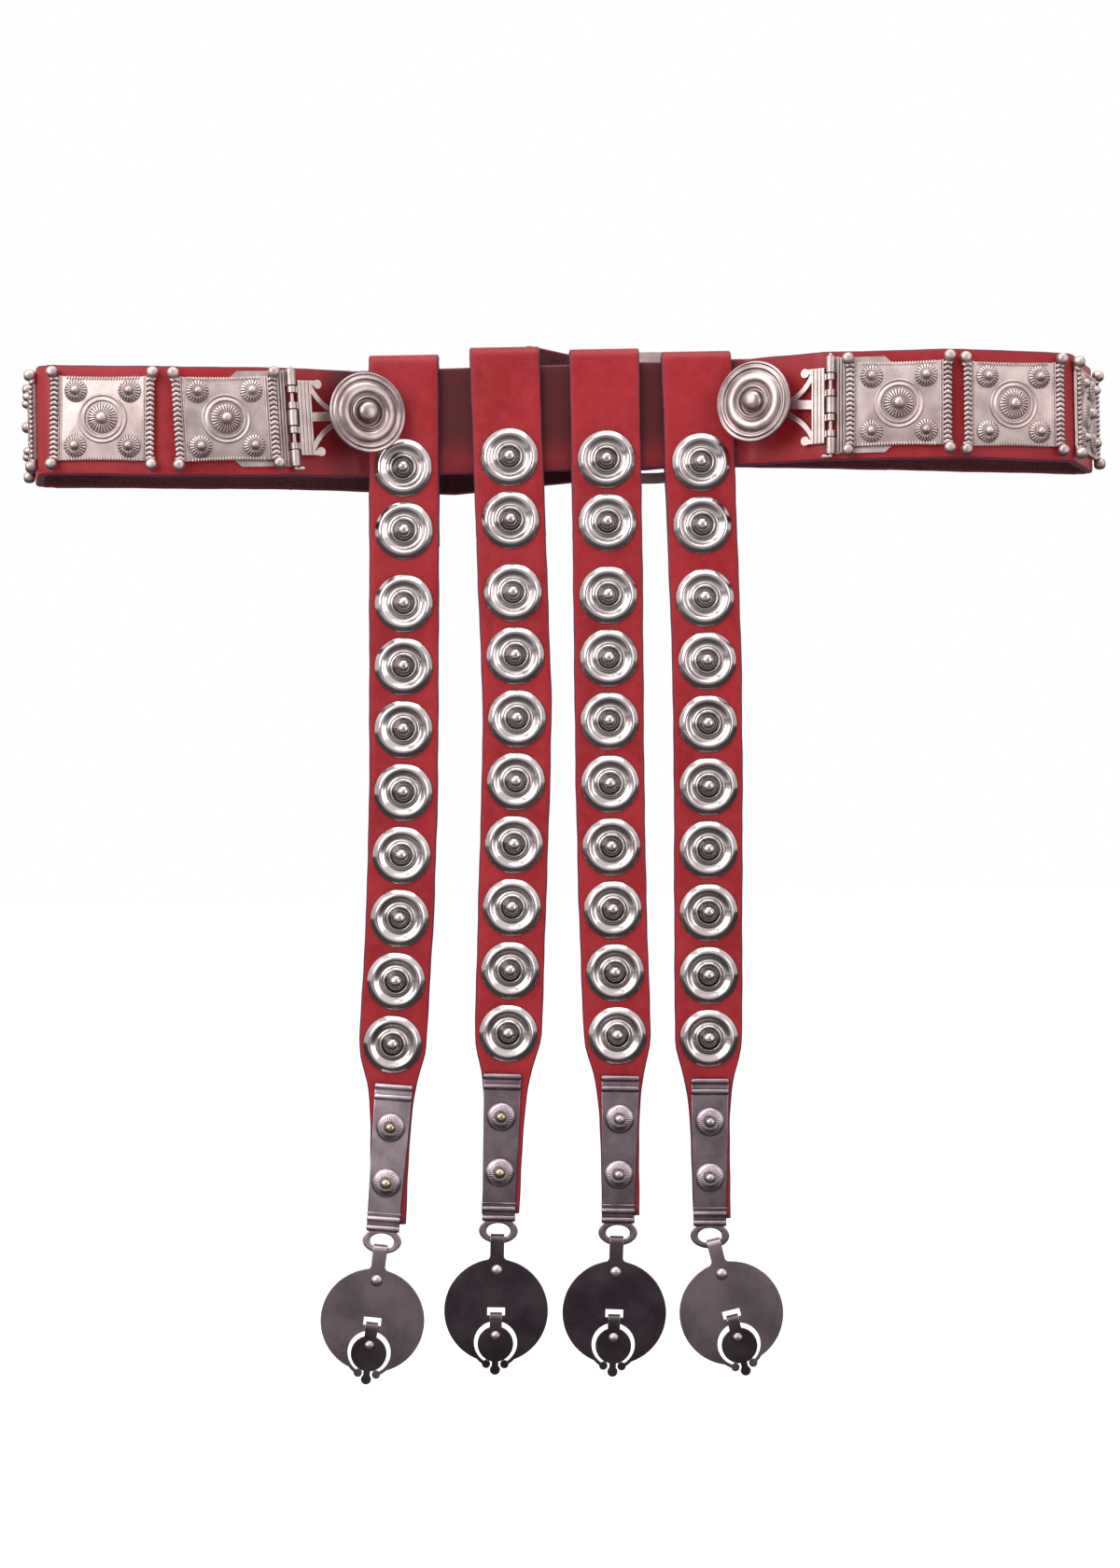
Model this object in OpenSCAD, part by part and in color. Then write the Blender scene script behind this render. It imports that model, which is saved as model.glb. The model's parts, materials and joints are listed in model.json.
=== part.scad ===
// Roman military belt: a leather belt buckled at the back, six cast belt plates, a hinged
// frog on each side of the front and an apron of four studded straps with pendants.
// Millimetres. The front is at -Y, +X is to the right seen from the front, +Z is up.
// The origin is the middle of the belt loop, half way up the belt.

/* [Belt] */
// Width of the belt leather
belt_w = 48; // [46:0.5:49]
// Thickness of the belt leather
belt_t = 3.6; // [3:0.1:4]
// Bevel along the edges of the belt leather
belt_bevel = 0.8; // [0.3:0.1:1.1]
// Radius of the corners at the free end of the belt
tip_r = 5; // [2:0.5:9]
// Diameter of the buckle holes in the belt
hole_d = 5.4; // [5:0.1:6.5]
// Spacing of the buckle holes along the belt
hole_pitch = 25; // [20:1:30]

/* [Belt plates] */
// Distance between the corner balls along the belt
plate_l = 44; // [42:0.5:46]
// Distance between the corner balls across the belt
plate_h = 40; // [38:0.5:41]
// Thickness of the plate
plate_t = 1.6; // [1.2:0.1:2.2]
// Diameter of a corner ball
ball_d = 5.2; // [4.4:0.2:6]
// Diameter of the rope border along each end
rope_d = 2.7; // [2:0.1:3.2]
// Diameter of the raised double ring
ring_d = 21.5; // [18:0.5:22.5]
// Diameter of the central rosette
boss_d = 12.8; // [10:0.2:14]
// Diameter of a rosette rivet on a plate
rosette_d = 9.8; // [8:0.2:10.4]
// Distance from the plate's centre to a rosette rivet along the belt
rosette_x = 11.8; // [10.5:0.1:12.2]
// Distance from the plate's centre to a rosette rivet across the belt
rosette_y = 12; // [11.5:0.1:12.5]

/* [Rivets] */
// Diameter of the rivet shanks
shank_d = 2.6; // [2:0.1:3]
// Diameter of the rivet washers
washer_d = 6.6; // [5.4:0.2:7]
// Thickness of the rivet washers
washer_t = 0.7; // [0.5:0.1:0.9]

/* [Frog hinge] */
// Thickness of the hinge leaf
leaf_t = 1; // [0.8:0.1:1.2]
// Distance from the hinge plate's centre to the hinge pin
pin_x = 29.6; // [29:0.1:31]
// Height of the hinge pin's axis over the belt
pin_rise = 2.3; // [2.2:0.1:2.8]
// Diameter of the hinge pin wire
pin_d = 1.7; // [1.2:0.1:1.9]
// Outer diameter of the hinge knuckles
knuckle_d = 4.2; // [3.8:0.1:4.3]
// Length of the hinge
hinge_h = 43; // [41:0.5:44]

/* [Frog] */
// Thickness of the frog plate
frog_t = 1.3; // [1:0.1:1.6]
// Height of the frog plate
frog_h = 33; // [30:0.5:34]
// Distance from the left hinge's pin to its button
left_button_x = 32; // [30:0.5:34]
// Distance from the right hinge's pin to its button
right_button_x = 33.5; // [30:0.5:34]
// Diameter of the button
button_d = 36; // [32:0.5:38]
// Distance from the middle of the frog plate to the middle of the button disc
button_rise = 8.5; // [7.5:0.25:9.5]
// Diameter of the button's stem
stem_d = 5; // [4:0.2:6]
// Angle of the left frog towards the belt, off its hinge plate
left_frog_a = 10; // [7:1:12]
// Angle of the right frog towards the belt, off its hinge plate
right_frog_a = 22; // [18:1:24]
// Upward bend of the left frog's arms
left_frog_bend = 2.5; // [0:0.5:4]
// Upward bend of the right frog's arms
right_frog_bend = 5.5; // [0:0.5:6]

/* [Buckle] */
// Inner height of the buckle loop
loop_h = 51.2; // [50.6:0.2:52]
// Length of the buckle loop from the bar to its inner end
loop_l = 25.5; // [25:0.5:27]
// Width of the buckle loop's frame
frame_w = 4.6; // [4:0.2:5.4]
// Thickness of the buckle loop's frame
frame_t = 3; // [2.6:0.1:3.2]
// Diameter of the buckle's bar
bar_d = 4; // [3.6:0.1:4.2]
// Thickness of the chape's sheet
chape_t = 1; // [0.8:0.1:1.1]
// Height of the chape
chape_h = 34; // [30:1:40]
// Length of the chape from its free end to the bar
chape_l = 24; // [22:0.5:28]
// Width of the prong
prong_w = 4; // [3.4:0.2:4.4]
// Thickness of the prong
prong_t = 2.2; // [1.8:0.1:2.4]

/* [Apron straps] */
// Width of a strap at the top
strap_w = 31.5; // [30:0.5:32]
// Thickness of the strap leather
strap_t = 3; // [2.4:0.1:3.2]
// Clearance between a strap's loop and the belt inside it
loop_gap = 0.3; // [0.2:0.05:0.5]
// Spacing of the studs on the hanging part of a strap
stud_pitch = 28.3; // [27:0.1:29]
// Diameter of a stud
stud_d = 26.3; // [24:0.1:26.6]

/* [Strap ends] */
// Thickness of the strap end's sheet
end_t = 1.4; // [1:0.1:1.6]
// Width of a strap end at its top
end_w = 16.9; // [15:0.1:18]
// Length of a strap end without its ring
end_l = 66.6; // [62:0.2:70]
// Diameter of the rosette rivets in a strap end
end_rosette_d = 13; // [11:0.5:14]
// Distance between the rosette rivets in a strap end
end_rosette_pitch = 25; // [23:0.5:28]

/* [Pendants] */
// Diameter of a pendant disc
pendant_d = 46.5; // [44:0.5:47]
// Thickness of the pendant's sheet
pendant_t = 0.9; // [0.7:0.1:1]
// Distance from the ring's bar to the centre of the pendant disc
pendant_drop = 30.95; // [30.5:0.05:32]
// Width of the pendant's tab
tab_w = 6.2; // [5.4:0.1:6.4]
// Diameter of the round hole in the pendant
window_d = 19.3; // [19:0.1:20]
// Distance from the centre of the pendant to the centre of its round hole
window_drop = 14.3; // [14.2:0.1:14.6]
// Diameter of the drop disc
drop_d = 16; // [14:0.2:16.4]
// Thickness of the drop's sheet
drop_t = 0.8; // [0.6:0.1:0.9]
// Width of the drop's tab
drop_tab_w = 5.4; // [4.6:0.1:5.6]

/* [Hidden] */
$fn = 48;

// Clearances: between pieces that lie on each other, round a rivet, and in a running fit
TOUCH = 0.05;
RIVET_PLAY = 0.1;
RUN_PLAY = 0.1;

// Corners of the belt's middle surface seen from above, from the end in the chape, along
// the back to the left end, along the front and back to the free end behind the buckle:
// x, y, height of the belt's middle, radius of the bend
ROUTE = [
    [28, 11, -1, 0],
    [-50, 11, -7.5, 80],
    [-125, 12, -3.5, 80],
    [-241, 9, -1, 6],
    [-227, -45, -3, 9],
    [-170, -47, -5, 40],
    [-122, -33, -3.8, 24],
    [-92, -12, -2, 12],
    [86, -12, 0.5, 12],
    [116, -36, -1.6, 14],
    [174, -45, -2.9, 40],
    [224, -37.5, -4.3, 8],
    [245, 9, -3.5, 6],
    [150, 10, 0.5, 80],
    [85, 9, 2.7, 60],
    [54.2, 2.5, 2.3, 14],
    [34.6, 17.1, 3, 14],
    [-18, 17.8, 15, 0]
];
// The run of the route that carries the apron, and the run that climbs through the buckle
FRONT_RUN = 7;
BUCKLE_RUN = 15;
// Belt plates: run of the route, distance of the plate's centre along it, its height over the
// belt's middle and its lean
LEFT_SIDE = [3, 28.2, 0, -2];
LEFT_OUTER = [4, 27.8, 0.4, -1.6];
LEFT_HINGE = [5, 23.5, 0.6, 2.6];
RIGHT_HINGE = [9, 32.8, 0, -1];
RIGHT_OUTER = [10, 23.8, 0, -0.3];
RIGHT_SIDE = [11, 23.6, 0, 1];
PLATES = [LEFT_SIDE, LEFT_OUTER, LEFT_HINGE, RIGHT_HINGE, RIGHT_OUTER, RIGHT_SIDE];
// Largest turn between two cross-sections of the belt in a bend
BEND_STEP = 12;

// Buckle: the bar's place, the loop's height over the belt's middle, the squareness of its end
BAR = [34, 11, -1];
LOOP_RISE = 3.5;
PRONG_RISE = 1.5;
LOOP_STRAIGHT = 10;
LOOP_POWER = 2.5;
// Where the prong goes through the belt along the run that climbs through the buckle, and how
// far the row of holes lies below the middle of the free end
PRONG_AT = 16.4;
PRONG_SLOT_L = 15.4;
HOLE_ROW_Z = -2.2;
CHAPE_RIVETS = [11, 19];
CHAPE_RIVET_Z = 11;

// Apron: for each strap the height of its loop's fold, the shift of its studs, the lean of
// its loop, the place of its end's top and the end's lean, and the pendant's place on the
// ring and its lean
FOLD_TOP = [29, 31.8, 30.2, 28.4];
STRAP_SHIFT = [-1.8, 2.2, 0.4, -1.6];
LOOP_LEAN = [0.8, -1.1, 0, -1];
END_X = [-80, -31.2, 21.7, 61.9];
END_LEAN = [-5.4, -2.5, -1.9, -1];
PENDANT_AT = [-0.5, -0.3, -0.5, 2];
PENDANT_LEAN = [-7, -2, -3, 13];
// Middle line of each strap: height, x
BOW = [
    [[-362, -84.3], [-300, -81], [-280, -80.3], [-225, -76.2], [-170, -73.6], [-110, -72.4], [-50, -71.2]],
    [[-362, -33.4], [-300, -29.8], [-280, -28.4], [-220, -25.6], [-165, -22.9], [-130, -21.7], [-50, -23.3]],
    [[-362, 20.9], [-300, 21.1], [-280, 20.7], [-220, 19.6], [-165, 19.4], [-110, 19.8], [-50, 20.3]],
    [[-362, 61.9], [-300, 61.6], [-280, 61.8], [-220, 62.7], [-165, 63.7], [-110, 64], [-50, 62.8]]
];
// Heights of the first three studs, and how far the strap end's top and the leather's end lie
// below the last stud
STUD_1_Z = -20.8;
STUD_2_Z = -49.1;
STUD_3_Z = -81.8;
STUDS = 10;
END_TOP_DROP = 17.7;
LEATHER_END_DROP = 81.1;
// Half width of a strap over its half width at the top, by the depth below the last stud
TAPER = [
    [-83, 0.534], [-60, 0.546], [-36, 0.58], [-26, 0.63], [-18, 0.71],
    [-12, 0.815], [-6, 0.925], [0, 0.965], [200, 1]
];
// Back layer of a strap's loop: where it ends, meets the front layer and leaves the belt
LAP_END_Z = -56;
LAP_TOP_Z = -43;
LAP_BELT_Z = -27;

// Ring of a strap end: half sizes of the outside and of the hole, its overlap with the sheet
RING_OUT = [8.75, 5.75];
RING_IN = [5.35, 3.4];
RING_LAP = 1.5;
END_TAPER = 0.865;
END_ROSETTE_Y = 19.6;
END_RIBS = [1.6, 6.2, 61.2, 65.2];
END_RIB_R = 1.3;

// Pendant: play of a tab's fold round its bar, rivet, slot over the bar, horns of the hole
TAB_PLAY = 0.45;
PENDANT_RIVET = 5.2;
SLOT = [7.9, 3.5];
WINDOW_BAR = 2.6;
WINDOW_RIM = 1.55;
HORN_R = 1.9;
HORN = [4.1, 9.6];
// Drop: rivet over its centre, its knob's radius and distance from the bar, neck
DROP_RIVET = 3.6;
KNOB_R = 2.3;
KNOB_DROP = 22.5;
NECK_W = 3;

STRAPS = [0, 1, 2, 3];

// Colours of the finishes
LEATHER = "#B03035";
CAST_SILVER = "#B8A8A4";
BRIGHT_NICKEL = "#C9C4C2";
DARK_NICKEL = "#6B6264";

// Depths of the apron in front of the belt and behind it
front_y = ROUTE[FRONT_RUN][1];
strap_back = front_y - belt_t / 2 - loop_gap;
strap_mid = strap_back - strap_t / 2;
strap_front = strap_back - strap_t;
fold_r = (belt_t + strap_t) / 2 + loop_gap;
end_mid_y = strap_front - TOUCH - end_t / 2;
// Middle of the swing between the loop and the hanging strap
swing_z = (STUD_2_Z + STUD_3_Z) / 2;
last_stud_z = STUD_3_Z - (STUDS - 3) * stud_pitch;
end_top_z = last_stud_z - END_TOP_DROP;
leather_end_z = last_stud_z - LEATHER_END_DROP;
// Bar of the ring that the pendant hangs on, seen from the strap end's top
ring_y = -end_l + RING_LAP - RING_OUT[1];
ring_bar = RING_OUT[1] - RING_IN[1];
ring_mid = (RING_OUT + RING_IN) / 2;
// Inner radius of the folds: half the bar's diagonal and the play
pendant_fold = norm([ring_bar / 2 + 0.25, end_t / 2]) + TAB_PLAY;
drop_fold = norm([WINDOW_BAR, pendant_t]) / 2 + TAB_PLAY;
// Bar of the pendant that the drop hangs on, below the pendant's axis
drop_bar_y = -pendant_drop - window_drop + window_d / 2 + WINDOW_BAR / 2;
drop_centre = window_d / 2 + WINDOW_BAR / 2;

// Direction, length and turn of the route at corner i
function flat(p) = [p[0], p[1]];
function run_a(i) = atan2(ROUTE[i + 1][1] - ROUTE[i][1], ROUTE[i + 1][0] - ROUTE[i][0]);
function run_l(i) = norm(flat(ROUTE[i + 1]) - flat(ROUTE[i]));
function wrapped(a) = a > 180 ? a - 360 : a < -180 ? a + 360 : a;
function turn(i) = wrapped(run_a(i) - run_a(i - 1));
function bend_l(i) = ROUTE[i][3] * tan(abs(turn(i)) / 2);
function left_of(a) = [-sin(a), cos(a)];
// Point at distance d along run i: x, y, height of the belt's middle
function on_run(i, d) = [for (k = [0:2]) ROUTE[i][k] + (ROUTE[i + 1][k] - ROUTE[i][k]) * d / run_l(i)];
function blend(a, b, c, u) = (1 - u) * (1 - u) * a + 2 * u * (1 - u) * b + u * u * c;

// Cross-sections through bend i: x, y, height, heading, half width
function bend(i) =
    let (
        a = run_a(i - 1),
        t = turn(i),
        s = sign(t),
        r = ROUTE[i][3],
        before = on_run(i - 1, run_l(i - 1) - bend_l(i)),
        after = on_run(i, bend_l(i)),
        centre = flat(before) + s * r * left_of(a),
        steps = max(2, ceil(abs(t) / BEND_STEP))
    )
    [for (k = [0:steps])
        let (u = k / steps, p = centre - s * r * left_of(a + t * u))
        [p[0], p[1], blend(before[2], ROUTE[i][2], after[2], u), a + t * u, belt_w / 2]];

// Cross-sections that round off the free end
TIP_STEPS = [1, 0.6, 0.3, 0.1, 0];
last_run = len(ROUTE) - 2;
function tip() = [for (f = TIP_STEPS)
    let (p = on_run(last_run, run_l(last_run) - f * tip_r))
    [p[0], p[1], p[2], run_a(last_run), belt_w / 2 - tip_r * (1 - sqrt(1 - (1 - f) * (1 - f)))]];

function belt_sections() = [
    [ROUTE[0][0], ROUTE[0][1], ROUTE[0][2], run_a(0), belt_w / 2],
    for (i = [1:last_run]) each bend(i),
    each tip()
];

// Corners of one cross-section: outwards is to the right of the heading
function section_points(s) =
    let (
        n = -left_of(s[3]),
        t = belt_t / 2,
        b = belt_bevel,
        h = s[4]
    )
    [for (q = [
        [t - b, h], [t, h - b], [t, b - h], [t - b, -h],
        [b - t, -h], [-t, b - h], [-t, h - b], [b - t, h]
    ]) [s[0] + n[0] * q[0], s[1] + n[1] * q[0], s[2] + q[1]]];

// Skin over cross-sections that each have m points
module skin(sections, m) {
    n = len(sections);
    points = [for (s = sections) each s];
    sides = [for (i = [0:n - 2], k = [0:m - 1])
        let (a = i * m + k, b = i * m + (k + 1) % m)
        each [[a, b, b + m], [a, b + m, a + m]]];
    first = [for (k = [1:m - 2]) [0, k + 1, k]];
    last = [for (k = [1:m - 2]) [(n - 1) * m, (n - 1) * m + k, (n - 1) * m + k + 1]];
    polyhedron(points, concat(sides, first, last), convexity = 12);
}

// Outline of a strip of thickness t along a line of points
function unit(v) = v / norm(v);
function side_of(v) = [-v[1], v[0]];
function miter(p, i) =
    let (
        a = side_of(unit(p[max(i, 1)] - p[max(i, 1) - 1])),
        b = side_of(unit(p[min(i, len(p) - 2) + 1] - p[min(i, len(p) - 2)]))
    )
    (a + b) / (1 + a * b);
function ribbon(p, t) = concat(
    [for (i = [0:len(p) - 1]) p[i] + miter(p, i) * t / 2],
    [for (i = [len(p) - 1:-1:0]) p[i] - miter(p, i) * t / 2]
);
// Points of an arc from angle a to angle b
function arc(c, r, a, b, steps) = [for (k = [0:steps]) c + r * [cos(a + (b - a) * k / steps), sin(a + (b - a) * k / steps)]];
// Points of a quarter of a squarish oval from the top to its end
function squarish(size, power) = [for (a = [0:7.5:90])
    [size[0] * pow(sin(a), 2 / power), size[1] * pow(max(0, cos(a)), 2 / power)]];

// Places: x along the belt, y up, z out of the belt's outer face
module on_belt(place) {
    translate(on_run(place[0], place[1]))
        rotate([0, 0, run_a(place[0])])
            rotate([90, 0, 0])
                translate([0, place[2], belt_t / 2])
                    rotate([0, 0, place[3]])
                        children();
}
// The same out of a strap's front face at x and height z
module on_strap(x, z) {
    translate([x, strap_front, z])
        rotate([90, 0, 0])
            children();
}
function strap_x(s, z) = lookup(z, BOW[s]);
function stud_z(s, k) = STRAP_SHIFT[s] + (k == 1 ? STUD_1_Z : k == 2 ? STUD_2_Z : STUD_3_Z - (k - 3) * stud_pitch);
function end_z(s) = end_top_z + STRAP_SHIFT[s];
// Half width of strap s at height z
function half_w(s, z) = strap_w / 2 * lookup(z - STRAP_SHIFT[s] - last_stud_z, TAPER);

module shank(from, to) {
    translate([0, 0, from])
        cylinder(h = to - from, d = shank_d);
}
module shank_hole(from, to) {
    translate([0, 0, from])
        cylinder(h = to - from, d = shank_d + 2 * RIVET_PLAY);
}
// Washer and clenched end behind leather whose back face is at -depth
module clench(depth) {
    translate([0, 0, -depth - TOUCH - washer_t])
        difference() {
            cylinder(h = washer_t, d = washer_d);
            shank_hole(-1, washer_t + 1);
        }
    shank(-depth - TOUCH - washer_t - TOUCH, 0);
    translate([0, 0, -depth - 2 * TOUCH - washer_t - 0.5])
        cylinder(h = 0.5, d1 = shank_d, d2 = shank_d + 1.2);
}
module plate_corners() {
    for (x = [-1, 1], y = [-1, 1])
        translate([x * rosette_x, y * rosette_y, 0])
            children();
}

// Belt leather with its rivet holes and buckle holes
module belt_leather() {
    color(LEATHER)
        difference() {
            skin([for (s = belt_sections()) section_points(s)], 8);
            for (p = PLATES)
                on_belt(p)
                    plate_corners()
                        shank_hole(-belt_t - 1, 1);
            for (x = CHAPE_RIVETS, z = [-1, 1])
                chape_rivet_place(x, z)
                    shank_hole(-belt_t - 1, 1);
            on_belt([BUCKLE_RUN, PRONG_AT, HOLE_ROW_Z, 0])
                prong_slot();
            for (k = [1:3])
                on_belt([BUCKLE_RUN - 1, run_l(BUCKLE_RUN - 1) - k * hole_pitch + PRONG_AT, HOLE_ROW_Z, 0])
                    translate([0, 0, -belt_t - 1])
                        cylinder(h = belt_t + 2, d = hole_d);
            on_belt([last_run, hole_pitch + PRONG_AT - run_l(BUCKLE_RUN), HOLE_ROW_Z, 0])
                translate([0, 0, -belt_t - 1])
                    cylinder(h = belt_t + 2, d = hole_d);
        }
}
module prong_slot() {
    half = (PRONG_SLOT_L - hole_d) / 2;
    translate([0, 0, -belt_t - 2]) {
        for (x = [-half, half])
            translate([x, 0, 0])
                cylinder(h = belt_t + 4, d = hole_d);
        translate([-half, -hole_d / 2, 0])
            cube([2 * half, hole_d, belt_t + 4]);
    }
}

// Cast plate: concave top and bottom edges, rope borders, corner balls, ring and boss
PLATE_EDGE_H = 18.6;
PLATE_DIP = 0.7;
RING_WALL = 1.5;
// Least height of the ropes and the corner balls over the back of the plate
BACK_CLEAR = 0.1;
module plate_outline() {
    edge = [for (k = [-6:6]) [k * plate_l / 12, PLATE_EDGE_H - PLATE_DIP * (1 - (k / 6) * (k / 6))]];
    polygon(concat(edge, [for (k = [12:-1:0]) [edge[k][0], -edge[k][1]]]));
}
module belt_plate(lift) {
    rope_x = plate_l / 2 - rope_d / 2 + 0.4;
    line_x = rope_x - rope_d / 2 - 1.5;
    color(CAST_SILVER)
        translate([0, 0, lift])
            difference() {
                union() {
                    linear_extrude(plate_t)
                        plate_outline();
                    for (x = [-1, 1]) {
                        translate([x * rope_x, 0, max(plate_t, rope_d / 2 + BACK_CLEAR)])
                            rotate([90, 0, 0])
                                cylinder(h = plate_h - 1.4, d = rope_d, center = true);
                        translate([x * line_x - 0.4, -PLATE_EDGE_H + 0.2, plate_t - 0.2])
                            cube([0.8, 2 * PLATE_EDGE_H - 0.4, 0.9]);
                        for (y = [-1, 1])
                            translate([x * plate_l / 2, y * plate_h / 2, ball_d / 2 + BACK_CLEAR])
                                sphere(d = ball_d);
                    }
                    rotate_extrude()
                        polygon([
                            [0, plate_t - 0.2], [ring_d / 2, plate_t - 0.2], [ring_d / 2 - 0.5, plate_t + 0.8],
                            [ring_d / 2 - RING_WALL, plate_t + 0.3], [ring_d / 2 - 2 * RING_WALL, plate_t + 0.9],
                            [boss_d / 2, plate_t + 0.2], [boss_d / 2 - 1, plate_t + 1.1],
                            [2.5, plate_t + 1.9], [2.4, plate_t + 2.5], [1.6, plate_t + 3.9], [0, plate_t + 4.4]
                        ]);
                }
                plate_corners()
                    shank_hole(-1, plate_t + 1);
            }
}
plate_lift = TOUCH;
hinge_plate_lift = leaf_t + 2 * TOUCH;
module left_side_plate() { on_belt(LEFT_SIDE) belt_plate(plate_lift); }
module left_outer_plate() { on_belt(LEFT_OUTER) belt_plate(plate_lift); }
module left_hinge_plate() { on_belt(LEFT_HINGE) belt_plate(hinge_plate_lift); }
module right_hinge_plate() { on_belt(RIGHT_HINGE) belt_plate(hinge_plate_lift); }
module right_outer_plate() { on_belt(RIGHT_OUTER) belt_plate(plate_lift); }
module right_side_plate() { on_belt(RIGHT_SIDE) belt_plate(plate_lift); }

// Rosette rivet of diameter d, standing on z = 0
module rosette(d) {
    r = d / 2;
    rotate_extrude()
        polygon([
            [0, 0], [r, 0], [r, 0.5], [0.72 * r, 1.6], [0.44 * r, 2],
            [0.42 * r, 2.5], [0.26 * r, 3.6], [0, 4]
        ]);
}
module plate_rivets() {
    color(CAST_SILVER)
        for (p = PLATES) {
            lift = (p == LEFT_HINGE || p == RIGHT_HINGE ? hinge_plate_lift : plate_lift) + plate_t + TOUCH;
            on_belt(p)
                plate_corners() {
                    translate([0, 0, lift])
                        rosette(rosette_d);
                    shank(0, lift + 0.5);
                    clench(belt_t);
                }
        }
}

// Hinge: zones of the belt's knuckles and of the frog's rings along the pin
KNUCKLE_END = hinge_h / 2 - 0.2;
KNUCKLES = [[-KNUCKLE_END, -14.3], [-3.4, 3.4], [14.3, KNUCKLE_END]];
RINGS = [[-13.8, -11.1], [-6.8, -4], [4, 6.8], [11.1, 13.8]];
LEAF_END = 26.8;
LEAF_BACK = 20;
LEAF_LOW = 17.4;
LEAF_NECK = [2, 6];
LEAF_RIBS = [0.8, 2.1, 3.4];
module hinge_leaf() {
    high = hinge_h / 2 - 0.5;
    low = min(LEAF_LOW, high);
    color(CAST_SILVER)
        difference() {
            union() {
                translate([0, 0, TOUCH])
                    linear_extrude(leaf_t)
                        polygon([
                            [-LEAF_BACK, -low], [LEAF_NECK[0], -low], [LEAF_NECK[1], -high], [LEAF_END, -high],
                            [LEAF_END, high], [LEAF_NECK[1], high], [LEAF_NECK[0], low], [-LEAF_BACK, low]
                        ]);
                for (x = LEAF_RIBS)
                    translate([LEAF_END - x, -high + 0.3, leaf_t - 0.1])
                        cube([0.7, 2 * high - 0.6, 0.7]);
                for (z = KNUCKLES) {
                    translate([pin_x, z[1], pin_rise])
                        rotate([90, 0, 0])
                            cylinder(h = z[1] - z[0], d = knuckle_d);
                    translate([LEAF_END - 1, z[0], TOUCH])
                        cube([pin_x - LEAF_END + 1, z[1] - z[0], leaf_t]);
                }
            }
            translate([pin_x, hinge_h / 2 + 1, pin_rise])
                rotate([90, 0, 0])
                    cylinder(h = hinge_h + 2, d = pin_d + 2 * TOUCH);
            plate_corners()
                shank_hole(-1, leaf_t + 1);
        }
}
module hinge_pin() {
    r = pin_d / 2;
    hook = 3.2;
    low = -hinge_h / 2 - 1;
    color(CAST_SILVER)
        translate([pin_x, 0, pin_rise]) {
            translate([0, hinge_h / 2 + 0.6, 0])
                rotate([90, 0, 0])
                    cylinder(h = hinge_h / 2 + 0.6 - low, r = r);
            translate([0, hinge_h / 2 + 0.6, 0])
                sphere(r = r);
            translate([0, low, 0])
                sphere(r = r);
            translate([0, low, 0])
                rotate([0, 90, 0])
                    cylinder(h = hook, r = r);
            translate([hook, low, 0])
                sphere(r = r);
        }
}
// The left hinge faces the middle of the belt with +x, the right one with -x
module left_hinge_leaf() { on_belt(LEFT_HINGE) hinge_leaf(); }
module right_hinge_leaf() { on_belt(RIGHT_HINGE) mirror([1, 0, 0]) hinge_leaf(); }
module left_hinge_pin() { on_belt(LEFT_HINGE) hinge_pin(); }
module right_hinge_pin() { on_belt(RIGHT_HINGE) mirror([1, 0, 0]) hinge_pin(); }

// Places on a frog: x from the pin to the button, y up, z outwards
module on_left_frog() {
    on_belt(LEFT_HINGE)
        translate([pin_x, 0, pin_rise])
            rotate([0, left_frog_a, 0])
                children();
}
module on_right_frog() {
    on_belt(RIGHT_HINGE)
        mirror([1, 0, 0])
            translate([pin_x, 0, pin_rise])
                rotate([0, right_frog_a, 0])
                    children();
}

// Frog plate: rings on the pin, ribbed bar, two volutes, three arms and the button's seat
ROOT_X = 2.5;
RIB_END = 8.8;
FROG_RIBS = [5.8, 4.1, 2.4, 0.7];
RIB_W = 0.7;
VOLUTE_R = 2;
VOLUTE_OUT = 3.2;
ARM_W = 2.2;
ARM_MIDDLE = [3.7, 4.5];
ARM_END = [8, 0.8];
SEAT_R = 6;
module frog_outline(reach, bend) {
    h = frog_h / 2;
    translate([ROOT_X, -h])
        square([RIB_END - ROOT_X, frog_h]);
    rotate(bend) {
        translate([RIB_END - 1, -2])
            square([reach - RIB_END + 1, 4]);
        translate([reach, 0])
            circle(r = SEAT_R);
    }
    for (s = [-1, 1])
        scale([1, s]) {
            translate([RIB_END + VOLUTE_OUT, h - 0.8 * VOLUTE_R])
                circle(r = VOLUTE_R);
            translate([RIB_END - 1, h - ARM_W])
                square([VOLUTE_OUT + 0.8, ARM_W]);
            polygon(ribbon([for (u = [0:0.125:1]) blend(
                [RIB_END - 0.4, h - ARM_W - 0.4], [RIB_END + ARM_MIDDLE[0], ARM_MIDDLE[1]],
                [reach - ARM_END[0], ARM_END[1]], u
            )], ARM_W));
        }
}
module frog_plate(reach, bend) {
    color(CAST_SILVER)
        difference() {
            union() {
                translate([0, 0, -frog_t / 2])
                    linear_extrude(frog_t)
                        frog_outline(reach, bend);
                for (x = FROG_RIBS)
                    translate([RIB_END - x - RIB_W / 2, -frog_h / 2 + 0.3, frog_t / 2 - 0.1])
                        cube([RIB_W, frog_h - 0.6, 0.6]);
                for (z = RINGS) {
                    translate([0, z[1], 0])
                        rotate([90, 0, 0])
                            cylinder(h = z[1] - z[0], d = knuckle_d - 0.4);
                    translate([0, z[0], -frog_t / 2])
                        cube([ROOT_X + 1, z[1] - z[0], frog_t]);
                }
            }
            translate([0, frog_h / 2, 0])
                rotate([90, 0, 0])
                    cylinder(h = frog_h, d = pin_d + 2 * RUN_PLAY);
            rotate([0, 0, bend])
                translate([reach, 0, -frog_t])
                    cylinder(h = 2 * frog_t, d = stem_d * 0.6 + 2 * RIVET_PLAY);
        }
}
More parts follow.
